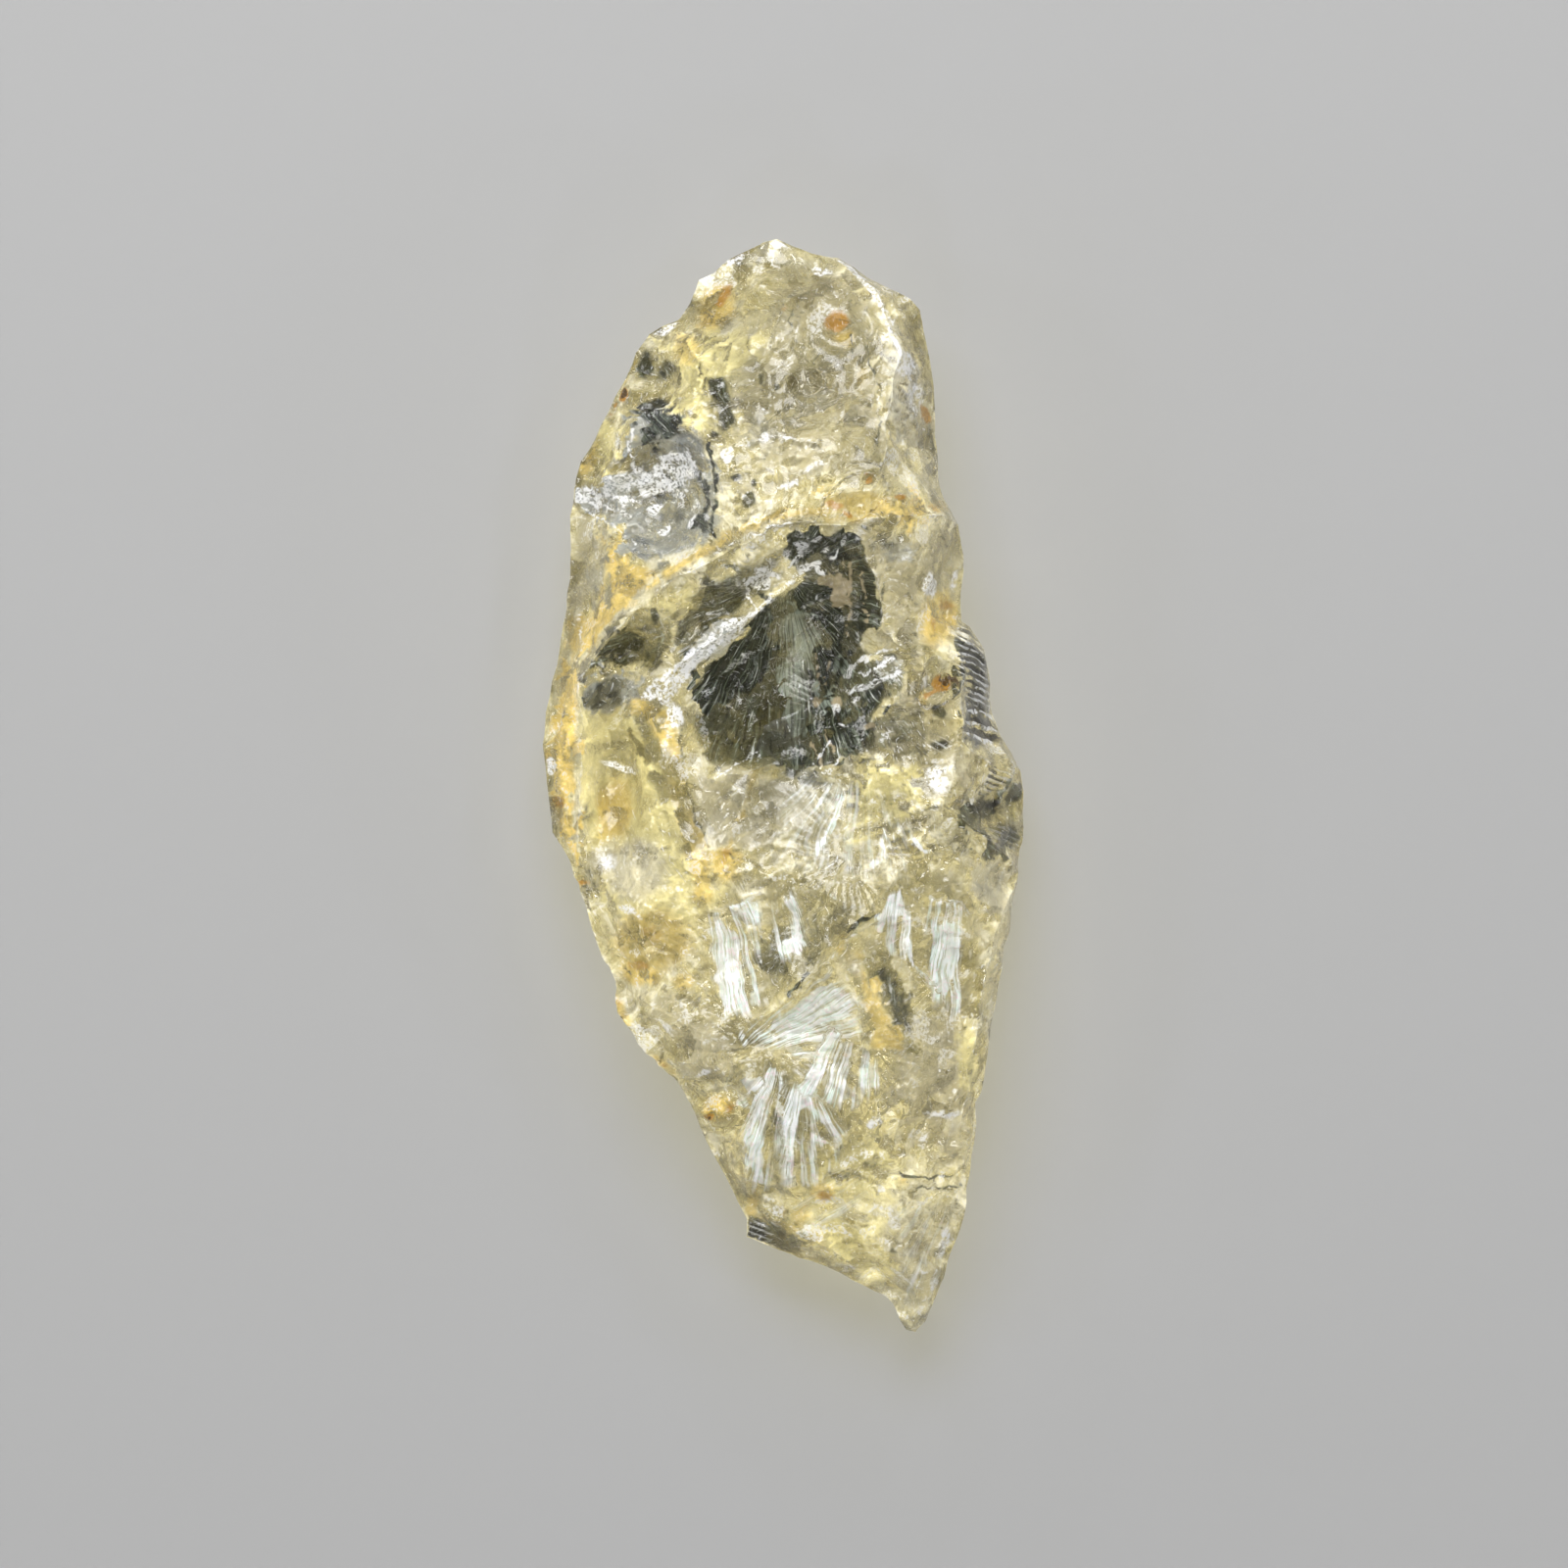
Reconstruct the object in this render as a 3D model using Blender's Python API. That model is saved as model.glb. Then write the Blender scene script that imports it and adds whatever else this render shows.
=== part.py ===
"""A rough broken quartz crystal, lying on its back, as one closed solid.

The stone is two relief surfaces that meet at a sharp rim: the front, which looks up, and
the back, which carries the flat it rests on. Each relief is a net of ridge lines in
millimetres. The net is filled with triangles, the faces between the ridges are relaxed and
hollowed like conchoidal fractures, shells are broken out of the back and the pits are cut last.
Frame: X to the right, Y along the length, Z up through the front; the flat is at Z = 0.
"""

import math
import random

import bmesh
import bpy
from mathutils import Matrix, Vector, noise
from mathutils.bvhtree import BVHTree
from mathutils.geometry import delaunay_2d_cdt
from mathutils.kdtree import KDTree

MM = 0.001

# Driving dimensions, in millimetres
FRONT_SPACING = 0.9       # distance between points on the front
BACK_SPACING = 1.3        # distance between points on the back
RIM_SPACING = 1.15        # distance between points along the rim
RIM_INSET = 0.65          # how far inside the rim the first row of points lies
RIM_WOBBLE = 0.10         # how far the rim points stray from the drawn outline
RIM_SWAY = 2.6            # how far the rim rises and falls along the stone
RIM_SWAY_LENGTH = 11.0    # distance over which it does so
POINT_CLEARANCE = 0.62    # closest two points may lie, as a share of the spacing
FACE_SAG = 0.45           # how far the face between two ridges is hollowed
SAG_REACH = 1.6           # distance from a ridge over which the sag builds up
GRAIN_HEIGHT = 0.06       # height of the fine unevenness of every face
GRAIN_SIZE = 1.9          # size of that unevenness
RELAX_STEPS = 5           # how often a face is evened out
RELAX_SHARE = 0.5         # share of the way to its neighbours that a point moves each time
MERGE_DISTANCE = 0.02     # points closer than this are one point
SCALLOP_COUNT = 46        # number of shells broken out of the back
SCALLOP_RADIUS = (2.6, 6.4)   # smallest and largest half width of a shell
SCALLOP_DEPTH = (0.5, 2.4)    # depth of the smallest and of the largest shell
SCALLOP_RARITY = 1.5      # how much rarer the large shells are than the small ones
SCALLOP_CEILING = 6.5     # height above which the shells have run out
SCALLOP_SEED = 123
DEEP_SHELL = (-6.4, 3.2, 4.4, 3.4)   # x, y, radius and depth of the deepest shell of the back
FLAT_KEPT = 4.2           # radius of the middle of the flat that stays whole
STEP_PITCH = 0.62         # distance from one growth line to the next
STEP_RISE = 0.55          # height of a growth step
STEP_FALL = 1.15          # how much lower a growth line ends than it starts, along Y
STEP_COUNT = 11           # number of growth lines
SEED = 41

# The rim, clockwise from the top: x, y and height
RIM = [
    (-1.5, 39.7, 10.2), (-0.5, 39.9, 10.4), (0.8, 39.3, 10.6), (2.1, 38.8, 10.6), (4.0, 38.5, 10.4),
    (5.2, 37.8, 10.0), (6.2, 37.0, 9.6), (7.6, 36.3, 9.0), (9.4, 35.4, 8.4), (10.1, 34.6, 8.2),
    (10.3, 33.2, 8.4), (10.8, 31.0, 8.8), (11.1, 28.6, 9.2), (11.2, 25.6, 9.6), (11.4, 22.8, 9.6),
    (11.8, 21.0, 9.4), (12.9, 19.0, 9.2), (13.1, 17.8, 9.0), (13.2, 15.0, 8.8), (13.1, 12.0, 8.6),
    (13.7, 11.6, 8.2), (14.8, 9.9, 7.8), (15.1, 8.4, 7.6), (15.4, 5.2, 7.4), (16.0, 3.6, 7.4),
    (16.9, 2.2, 7.6), (17.5, 1.0, 7.9), (17.7, -0.6, 8.1), (17.7, -3.2, 8.3), (17.4, -6.4, 8.6),
    (16.9, -9.6, 8.9), (16.1, -13.4, 9.2), (15.2, -18.4, 9.2), (14.6, -22.4, 9.0), (14.1, -23.2, 8.8),
    (14.2, -24.8, 8.7), (13.7, -28.6, 8.3), (13.2, -31.8, 8.0), (12.8, -33.2, 7.8), (11.7, -36.4, 7.6),
    (10.4, -39.4, 7.4), (9.6, -40.0, 7.2), (8.8, -39.7, 7.0), (7.4, -38.0, 6.8), (6.2, -37.1, 6.6),
    (4.2, -36.0, 6.4), (1.6, -34.9, 6.4), (-1.0, -34.0, 6.6), (-2.9, -33.2, 6.8), (-2.9, -31.8, 7.2),
    (-4.2, -29.2, 7.6), (-5.4, -27.0, 7.9), (-6.2, -25.2, 8.1), (-7.4, -22.6, 8.3), (-8.2, -21.4, 8.4),
    (-10.2, -19.8, 8.4), (-11.2, -18.2, 8.4), (-12.3, -16.8, 8.4), (-12.6, -14.6, 8.6), (-13.8, -11.6, 8.7),
    (-15.0, -7.9, 8.6), (-16.4, -4.6, 8.2), (-17.1, -3.6, 7.9), (-17.5, 0.0, 7.4), (-17.8, 2.8, 7.2),
    (-17.6, 5.2, 7.3), (-16.8, 8.6, 7.6), (-16.5, 10.6, 7.8), (-15.8, 15.0, 8.0), (-15.8, 19.6, 8.2),
    (-15.5, 21.6, 8.3), (-15.0, 23.6, 8.4), (-14.0, 25.2, 8.6), (-12.9, 27.3, 8.9), (-11.7, 29.6, 9.2),
    (-10.9, 31.5, 9.4), (-9.9, 32.9, 9.5), (-7.8, 34.0, 9.6), (-7.0, 35.2, 9.6), (-6.3, 36.9, 9.7),
    (-5.2, 37.4, 9.8), (-4.2, 38.3, 10.0), (-3.0, 38.9, 10.0),
]

# Crisp edges of the front
FRONT_RIDGES = {
    "main crest": [(12.9, 19.0, 9.2), (11.6, 19.4, 14.6), (9.6, 19.4, 17.8), (7.4, 19.3, 19.4),
                   (5.2, 18.9, 20.4), (2.4, 19.0, 21.0), (-0.6, 18.5, 20.6), (-3.6, 17.1, 19.5),
                   (-6.4, 15.6, 18.3), (-8.8, 14.2, 17.1), (-11.0, 12.5, 15.7), (-12.9, 10.5, 14.4),
                   (-14.2, 8.7, 13.2), (-15.2, 7.4, 12.4)],
    "left rim edge": [(-15.2, 7.4, 12.4), (-15.0, 4.0, 12.8), (-15.0, 1.0, 12.8), (-15.1, -2.0, 12.4),
                      (-15.4, -4.6, 11.2), (-15.0, -7.9, 8.6)],
    "band above the crest": [(-4.9, 18.6, 18.2), (-2.2, 19.7, 19.0), (0.8, 20.7, 19.8), (3.2, 21.4, 20.0),
                             (6.4, 21.2, 19.4), (9.2, 20.9, 17.4), (11.8, 21.0, 9.4)],
    "lobe edge": [(4.0, 38.5, 10.4), (5.2, 37.1, 12.6), (6.6, 36.1, 13.6), (7.3, 34.9, 14.4),
                  (7.9, 33.0, 15.3), (8.7, 31.2, 15.5), (8.1, 29.0, 16.4), (7.4, 26.2, 17.3),
                  (7.6, 23.6, 18.2), (6.4, 21.2, 19.4)],
    "lobe fold": [(-3.6, 30.8, 15.3), (-1.6, 31.9, 15.8), (0.2, 33.1, 15.3)],
    "scoop edge": [(-15.5, 21.6, 8.3), (-13.4, 21.9, 11.6), (-12.3, 23.6, 12.6), (-11.9, 25.6, 13.0),
                   (-10.6, 27.6, 13.6), (-9.0, 27.0, 14.8), (-7.0, 25.6, 16.4), (-5.4, 24.6, 17.6),
                   (-4.8, 22.8, 18.2), (-4.6, 20.8, 18.4), (-4.9, 18.6, 18.2), (-6.2, 17.0, 17.4),
                   (-8.0, 15.9, 16.3), (-9.6, 15.4, 15.4), (-10.8, 16.5, 14.6), (-11.8, 17.7, 13.8),
                   (-13.2, 19.0, 12.2), (-15.8, 19.6, 8.2)],
    "pocket lip": [(5.2, 18.9, 20.4), (4.9, 17.9, 18.8), (2.6, 17.6, 18.8), (0.4, 17.2, 18.6),
                   (-1.4, 16.2, 18.2), (-3.4, 15.2, 17.6), (-5.4, 14.4, 17.0), (-7.2, 13.2, 16.4),
                   (-8.9, 12.0, 15.6), (-8.6, 10.4, 15.0), (-7.8, 8.4, 15.3)],
    "silver ridge": [(4.7, 15.4, 16.4), (3.2, 15.6, 15.8), (1.4, 15.3, 15.6), (0.1, 14.0, 15.8),
                     (-1.6, 12.7, 16.0), (-3.2, 11.5, 16.2), (-4.8, 10.4, 16.0), (-6.4, 9.4, 15.7),
                     (-7.8, 8.4, 15.3), (-9.2, 7.4, 14.9), (-8.4, 5.8, 15.0), (-7.6, 4.6, 15.0),
                     (-7.3, 2.8, 15.1), (-7.2, 0.8, 15.2), (-6.5, -1.6, 15.5), (-5.6, -3.8, 15.8),
                     (-5.0, -5.0, 16.0)],
    "olive hollow edge": [(-14.2, 8.7, 13.2), (-12.6, 8.2, 12.8), (-10.8, 8.2, 13.8), (-9.2, 7.4, 14.9)],
    "hollow wall": [(4.9, 17.9, 18.8), (5.6, 16.6, 18.6), (6.6, 15.0, 18.2), (7.1, 13.0, 17.8),
                    (6.9, 11.2, 17.4), (8.4, 9.7, 17.2), (6.8, 9.2, 16.2), (5.2, 8.5, 14.8)],
    "hollow wall foot": [(4.7, 15.4, 16.4), (4.8, 13.6, 14.8), (4.4, 11.6, 13.2), (3.8, 9.8, 12.2)],
    "hollow rib": [(0.1, 14.0, 15.8), (0.7, 11.4, 13.2), (1.0, 8.6, 11.4), (1.0, 5.4, 10.0)],
    "hollow valley": [(-7.6, 4.6, 15.0), (-5.6, 4.9, 12.8), (-3.4, 4.6, 11.2), (-1.4, 4.2, 10.2),
                      (1.0, 5.4, 10.0), (2.6, 6.8, 11.0), (3.8, 9.8, 12.2)],
    "blade": [(9.6, 8.6, 17.2), (7.8, 8.1, 16.8), (6.1, 7.3, 15.8), (4.4, 6.5, 14.2)],
    "hollow lower lip": [(4.4, 6.5, 14.2), (4.0, 4.9, 13.4), (5.0, 2.6, 14.8), (3.6, 1.3, 14.4),
                         (1.6, 0.5, 14.0), (-0.4, 0.0, 13.8), (-0.5, 1.5, 14.0), (-2.6, 0.9, 14.2),
                         (-4.8, 0.7, 14.5), (-7.2, 0.8, 15.2)],
    "rough plateau edge": [(9.6, 8.6, 17.2), (8.0, 6.4, 16.6), (6.8, 4.6, 16.0), (5.0, 2.6, 14.8)],
    "growth step edge": [(13.1, 12.0, 8.6), (12.7, 10.6, 13.4), (13.1, 8.2, 14.8), (13.0, 5.6, 15.6),
                         (13.0, 3.2, 15.8), (14.2, 1.9, 14.2), (15.8, 1.2, 11.8), (17.7, -0.6, 8.1)],
    "right ledge": [(13.0, 3.2, 15.8), (12.4, 0.8, 16.4), (11.6, -1.4, 16.8), (9.8, -1.7, 17.0),
                    (7.6, -2.6, 16.8), (5.8, -3.8, 16.2), (4.9, -4.8, 15.8)],
    "shard fan": [(6.4, 0.4, 16.0), (5.5, -1.8, 15.6), (4.9, -4.8, 15.8)],
    "chipped corner": [(11.6, -1.4, 16.8), (13.4, -2.9, 15.6), (15.0, -3.9, 13.8), (17.4, -6.4, 8.6)],
    "cream crease": [(-2.6, 0.9, 14.2), (-3.2, -2.4, 15.0), (-5.0, -5.0, 16.0)],
    "crack foot": [(11.6, -1.4, 16.8), (9.6, -4.6, 17.2), (6.4, -9.1, 17.4), (4.7, -10.0, 17.2),
                   (3.2, -11.6, 16.8), (1.2, -13.9, 16.0), (0.0, -14.9, 15.8), (-1.8, -16.4, 15.4),
                   (-3.4, -17.9, 15.2)],
    "crack top": [(6.9, -9.6, 18.2), (5.3, -10.6, 19.0), (3.9, -11.6, 19.3), (1.9, -14.3, 18.0),
                  (0.6, -15.5, 17.2), (-1.3, -16.9, 16.4)],
    "wedge left edge": [(3.9, -11.6, 19.3), (4.9, -14.4, 18.8), (5.3, -17.0, 18.2), (5.7, -19.6, 17.4)],
    "wedge right edge": [(5.3, -10.6, 19.0), (6.4, -13.6, 18.6), (7.8, -16.6, 17.6), (9.5, -19.3, 16.2)],
    "dark facet edge": [(5.3, -10.6, 19.0), (7.6, -13.0, 17.2), (9.3, -16.2, 15.8), (9.5, -19.3, 16.2)],
    "lower left line": [(-12.6, -14.6, 8.6), (-10.4, -16.0, 12.2), (-7.8, -17.3, 13.6), (-5.6, -18.4, 14.6),
                        (-3.4, -17.9, 15.2)],
    "left knee": [(-10.2, -19.8, 8.4), (-7.4, -20.3, 12.8), (-4.6, -21.0, 14.6), (-0.9, -20.0, 16.0)],
    "feather rib": [(-0.9, -20.0, 16.0), (-1.7, -23.0, 15.2), (-2.4, -26.0, 13.8), (-2.9, -28.8, 12.0)],
    "second feather rib": [(1.2, -21.4, 16.2), (1.0, -25.6, 14.8), (0.5, -30.0, 12.6)],
    "toe ridge": [(9.5, -19.3, 16.2), (8.8, -22.6, 16.0), (8.1, -26.0, 15.4), (8.5, -28.4, 14.8),
                  (8.6, -33.0, 13.0), (9.2, -36.4, 11.2), (9.6, -40.0, 7.2)],
    "right edge": [(17.4, -6.4, 8.6), (15.4, -11.0, 12.4), (14.5, -15.4, 13.0), (13.8, -19.6, 12.9),
                   (13.3, -23.2, 12.5), (12.9, -27.0, 12.0), (12.4, -29.8, 11.4), (11.9, -33.2, 10.4),
                   (10.9, -36.4, 9.4), (10.4, -39.4, 7.4)],
    "toe crack": [(8.5, -28.4, 14.8), (10.4, -28.6, 13.9), (12.4, -29.8, 11.4)],
    "bottom break": [(-2.9, -31.8, 7.2), (-1.2, -31.8, 10.0), (0.9, -32.9, 10.4), (3.2, -34.1, 10.0),
                     (5.6, -35.6, 9.2), (7.4, -38.0, 6.8)],
}

# Rounded swells of the front, evened out with the faces around them
FRONT_SWELLS = [
    (-1.2, 36.4, 13.4), (3.4, 34.6, 14.8), (1.8, 29.2, 17.4), (3.6, 25.2, 18.8), (-1.8, 24.6, 18.8),
    (-6.8, 31.4, 13.8), (-9.6, 30.2, 12.0), (-6.0, 28.0, 15.8), (9.6, 28.0, 13.6), (9.6, 24.0, 14.6),
    (-13.8, 14.0, 12.2), (-12.2, 15.6, 13.6), (-13.4, 24.0, 10.8),
    (-2.6, 14.6, 14.0), (2.6, 16.6, 14.6), (-5.8, 12.4, 14.2), (-11.6, 9.7, 12.0),
    (9.6, 15.4, 17.6), (9.4, 11.4, 17.4), (11.4, 7.4, 17.2), (10.6, 3.6, 17.2), (8.6, 1.6, 16.8),
    (-3.6, 8.0, 12.4), (-0.8, 9.6, 12.4), (-4.6, 2.6, 13.4), (0.8, 2.6, 12.2), (2.8, 12.4, 12.8),
    (5.4, 4.6, 13.2),
    (-10.4, 6.0, 15.0), (-9.3, 3.8, 16.0), (-8.8, 1.4, 16.4), (-8.1, -1.2, 16.6), (-7.2, -3.6, 16.7),
    (-6.4, -5.8, 16.8), (-5.8, -8.2, 16.8), (-12.8, 4.0, 12.0), (-12.4, 0.0, 11.8), (-12.0, -3.6, 12.6),
    (-10.8, -7.0, 14.0), (-8.8, -11.0, 14.4), (-11.8, -11.8, 12.0),
    (0.6, -2.8, 15.4), (1.2, -6.4, 16.4), (-3.6, -12.4, 15.4), (0.4, -10.6, 15.8), (-1.8, -8.4, 16.6),
    (5.0, -7.4, 17.2), (9.2, -8.4, 17.0), (11.6, -11.6, 15.6), (13.2, -6.4, 15.0),
    (1.6, -17.4, 15.6), (3.6, -20.6, 16.6), (-7.6, -18.8, 13.0),
    (5.0, -25.0, 15.6), (4.6, -30.0, 13.6), (11.4, -22.4, 14.4), (10.6, -32.0, 12.2),
    (-3.6, -23.6, 13.8),
]

# Crisp edges of the back
REST_FLAT = [
    (-2.6, 26.4), (4.6, 25.0), (8.8, 15.6), (11.2, 3.4), (10.2, -10.4), (8.6, -21.6),
    (3.8, -26.0), (-1.4, -20.4), (-6.4, -12.2), (-10.8, -3.6), (-11.2, 8.2), (-8.2, 20.8),
]
BACK_RIDGES = {
    "back top left": [(-2.6, 26.4, 0.0), (-4.0, 32.6, 3.4), (-7.8, 34.0, 9.6)],
    "back top right": [(4.6, 25.0, 0.0), (5.0, 32.4, 3.0), (6.2, 37.0, 9.6)],
    "back right shoulder": [(8.8, 15.6, 0.0), (11.4, 17.0, 3.8), (12.9, 19.0, 9.2)],
    "back right": [(11.2, 3.4, 0.0), (14.6, 3.0, 3.8), (16.9, 2.2, 7.6)],
    "back lower right": [(10.2, -10.4, 0.0), (13.8, -11.8, 4.4), (16.1, -13.4, 9.2)],
    "back toe": [(8.6, -21.6, 0.0), (9.6, -31.0, 2.6), (9.6, -40.0, 7.2)],
    "back toe left": [(3.8, -26.0, 0.0), (3.4, -31.6, 2.6), (1.6, -34.9, 6.4)],
    "back knee": [(-1.4, -20.4, 0.0), (-4.6, -23.4, 4.2), (-7.4, -22.6, 8.3)],
    "back lower left": [(-6.4, -12.2, 0.0), (-10.2, -14.2, 4.2), (-12.6, -14.6, 8.6)],
    "back left": [(-10.8, -3.6, 0.0), (-14.6, -3.8, 3.8), (-17.1, -3.6, 7.9)],
    "back left shoulder": [(-11.2, 8.2, 0.0), (-14.2, 9.6, 3.6), (-16.5, 10.6, 7.8)],
    "back upper left": [(-8.2, 20.8, 0.0), (-11.4, 23.4, 3.8), (-14.0, 25.2, 8.6)],
}
BACK_SWELLS = [(0.6, 33.4, 2.2), (8.6, 26.4, 3.2), (13.4, 8.4, 3.0), (14.2, -4.2, 3.2), (12.0, -24.0, 4.2),
               (5.8, -32.0, 1.8), (-0.6, -27.0, 3.0), (-7.4, -17.2, 4.0), (-12.6, -9.0, 4.2),
               (-14.8, 2.6, 3.0), (-12.8, 15.2, 3.4), (-9.0, 27.2, 4.0)]

# Hollows struck out of the front: centre, half widths along and across, turn in degrees, depth
DISHES = {
    "glassy scoop": (-8.4, 20.8, 5.2, 4.2, 75, 3.4),
    "scoop throat": (-12.6, 20.6, 3.4, 1.6, 5, 0.9),
    "pocket": (-2.6, 14.6, 4.8, 1.8, 26, 1.5),
    "upper pocket": (3.0, 16.6, 2.2, 1.1, 0, 1.0),
    "olive hollow": (-11.4, 9.7, 3.0, 1.6, 30, 1.3),
    "left scoop": (-12.5, 1.4, 7.0, 2.7, 92, 2.2),
    "cream face": (-2.0, -2.0, 4.0, 2.6, 70, 0.8),
    "fan dish": (1.6, -17.2, 4.6, 3.4, 35, 1.3),
    "left lens": (-3.6, -12.2, 4.6, 1.9, 96, 1.1),
    "middle lens": (0.4, -9.6, 3.6, 1.5, 110, 0.8),
    "right lens": (11.6, -12.0, 3.6, 1.7, 100, 0.9),
    "wishbone lens": (8.0, -10.4, 3.0, 1.4, 95, 0.8),
    "lobe dimple": (2.2, 29.4, 4.2, 3.4, 70, 0.6),
}

# Round pits: x, y, radius and how deep the pit goes below the face around it
PITS = {
    "round pit": (11.4, 7.3, 0.75, 1.5),
    "lobe stain pit": (3.9, 33.3, 1.05, 0.55),
    "lower pit": (-5.4, -24.2, 0.55, 0.7),
    "edge pit": (-11.7, 28.5, 0.6, 0.8),
    "small pit": (6.1, 22.0, 0.45, 0.5),
}

STONE_COLOUR = (0.62, 0.56, 0.34, 1.0)
STONE_ROUGHNESS = 0.22
STONE_IOR = 1.544


def clear_scene():
    for leftover in list(bpy.data.objects):
        bpy.data.objects.remove(leftover)


def divide_line(points, spacing):
    """Points along a line of ridge points, about one spacing apart, corners kept."""
    divided = []
    for start, end in zip(points, points[1:]):
        span = (Vector(end[:2]) - Vector(start[:2])).length
        pieces = max(1, round(span / spacing))
        for i in range(pieces):
            divided.append(Vector(start).lerp(Vector(end), i / pieces))
    divided.append(Vector(points[-1]))
    return divided


def make_rim():
    """The closed rim, divided evenly, with a small seeded stray inward and outward."""
    wobble = random.Random(SEED)
    rim = divide_line(RIM + RIM[:1], RIM_SPACING)[:-1]
    corners = {(round(x, 3), round(y, 3)) for x, y, _ in RIM}
    for point in rim:
        if (round(point.x, 3), round(point.y, 3)) not in corners:
            point.x += wobble.uniform(-RIM_WOBBLE, RIM_WOBBLE)
            point.y += wobble.uniform(-RIM_WOBBLE, RIM_WOBBLE)
        place = Vector((point.x / RIM_SWAY_LENGTH, point.y / RIM_SWAY_LENGTH, 0.5))
        point.z += RIM_SWAY * noise.noise(place)
    return rim


def growth_lines():
    """Parallel growth lines on the side face, every second one lower by the step's rise."""
    lines = []
    for k in range(STEP_COUNT):
        start = Vector((13.5, 10.4 - k * STEP_PITCH, 13.0))
        end = Vector((14.8, start.y - STEP_FALL, 9.8))
        drop = Vector((0.0, 0.0, STEP_RISE * (k % 2)))
        lines.append([start - drop, start.lerp(end, 0.5) - drop, end - drop])
    return lines


def inset_rim(rim):
    """One row of points inside the rim, each straight in from its rim point."""
    inner = []
    count = len(rim)
    for i, point in enumerate(rim):
        along = (rim[(i + 1) % count] - rim[i - 1]).to_2d().normalized()
        inner.append(Vector((point.x + along.y * RIM_INSET * -1, point.y + along.x * RIM_INSET)))
    return inner


def triangulate(points, edges, rim_count):
    """Constrained triangles inside the rim, as point indices into the given list."""
    flat = [Vector(point[:2]) for point in points]
    result = delaunay_2d_cdt(flat, edges, [], 0, MERGE_DISTANCE * 0.1, True)
    places, _, all_triangles, sources, _, _ = result
    outline = [(point.x, point.y) for point in flat[:rim_count]]
    triangles = []
    for triangle in all_triangles:
        middle = sum((places[i] for i in triangle), Vector((0.0, 0.0))) / 3
        if inside_polygon(middle.x, middle.y, outline):
            triangles.append(triangle)
    origins = [source[0] if source else None for source in sources]
    return places, triangles, origins


class Net:
    """A list of points in which near points are shared, with the edges drawn between them."""

    def __init__(self):
        self.points = []
        self.edges = []

    def index_of(self, point):
        for i, known in enumerate(self.points):
            if (known.to_2d() - point.to_2d()).length < MERGE_DISTANCE:
                return i
        self.points.append(point.copy())
        return len(self.points) - 1

    def add_line(self, points, closed=False):
        indices = [self.index_of(point) for point in points]
        if closed:
            indices.append(indices[0])
        for a, b in zip(indices, indices[1:]):
            if a != b:
                self.edges.append((a, b))


def coarse_surface(rim, ridges, swells):
    """The plain net of ridges and swells as a surface that gives a height for any place."""
    net = Net()
    net.add_line(rim, closed=True)
    rim_count = len(net.points)
    for line in ridges:
        net.add_line([Vector(point) for point in line])
    for swell in swells:
        net.index_of(Vector(swell))
    places, triangles, origins = triangulate(net.points, net.edges, rim_count)
    vertices = []
    for place, origin in zip(places, origins):
        height = net.points[origin].z if origin is not None else 0.0
        vertices.append(Vector((place.x, place.y, height)))
    if None in origins:
        raise ValueError("two ridges cross between their points")
    return BVHTree.FromPolygons(vertices, triangles)


def height_at(surface, x, y, fallback):
    hit = surface.ray_cast(Vector((x, y, 100.0)), Vector((0.0, 0.0, -1.0)))[0]
    return hit.z if hit else fallback


def scattered_points(spacing, taken, rim_tree, rim, chance):
    """A shaken hexagonal grid of free places that keep clear of the points already taken."""
    left, right = min(p.x for p in rim), max(p.x for p in rim)
    low, high = min(p.y for p in rim), max(p.y for p in rim)
    row_step = spacing * math.sqrt(3) / 2
    clearance = spacing * POINT_CLEARANCE
    tree = KDTree(len(taken))
    for i, point in enumerate(taken):
        tree.insert((point.x, point.y, 0.0), i)
    tree.balance()
    places = []
    for row in range(int((high - low) / row_step) + 1):
        shift = spacing / 2 if row % 2 else 0.0
        for column in range(int((right - left) / spacing) + 1):
            x = left + shift + column * spacing + chance.uniform(-0.22, 0.22) * spacing
            y = low + row * row_step + chance.uniform(-0.22, 0.22) * spacing
            if tree.find((x, y, 0.0))[2] < clearance:
                continue
            if rim_tree.ray_cast(Vector((x, y, 100.0)), Vector((0.0, 0.0, -1.0)))[0]:
                places.append(Vector((x, y, 0.0)))
    return places


def dish_depth(x, y):
    """Depth of all hollows at one place."""
    depth = 0.0
    for centre_x, centre_y, along, across, turn, deepest in DISHES.values():
        angle = math.radians(turn)
        dx, dy = x - centre_x, y - centre_y
        u = (dx * math.cos(angle) + dy * math.sin(angle)) / along
        v = (dy * math.cos(angle) - dx * math.sin(angle)) / across
        reach = u * u + v * v
        if reach < 1.0:
            depth += deepest * (1.0 - reach) ** 1.5
    return depth


def make_scallops(rim):
    """Shells broken out of the back: centre, radius and depth, clear of the middle of the flat."""
    chance = random.Random(SCALLOP_SEED)
    left, right = min(p.x for p in rim), max(p.x for p in rim)
    low, high = min(p.y for p in rim), max(p.y for p in rim)
    outline = [(point.x, point.y) for point in rim]
    scallops = [DEEP_SHELL]
    while len(scallops) < SCALLOP_COUNT:
        x, y = chance.uniform(left, right), chance.uniform(low, high)
        size = chance.random() ** SCALLOP_RARITY
        radius = SCALLOP_RADIUS[0] + size * (SCALLOP_RADIUS[1] - SCALLOP_RADIUS[0])
        depth = SCALLOP_DEPTH[0] + size * (SCALLOP_DEPTH[1] - SCALLOP_DEPTH[0])
        if inside_polygon(x, y, outline) and math.hypot(x, y) > radius + FLAT_KEPT:
            scallops.append((x, y, radius, depth))
    return scallops


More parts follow.
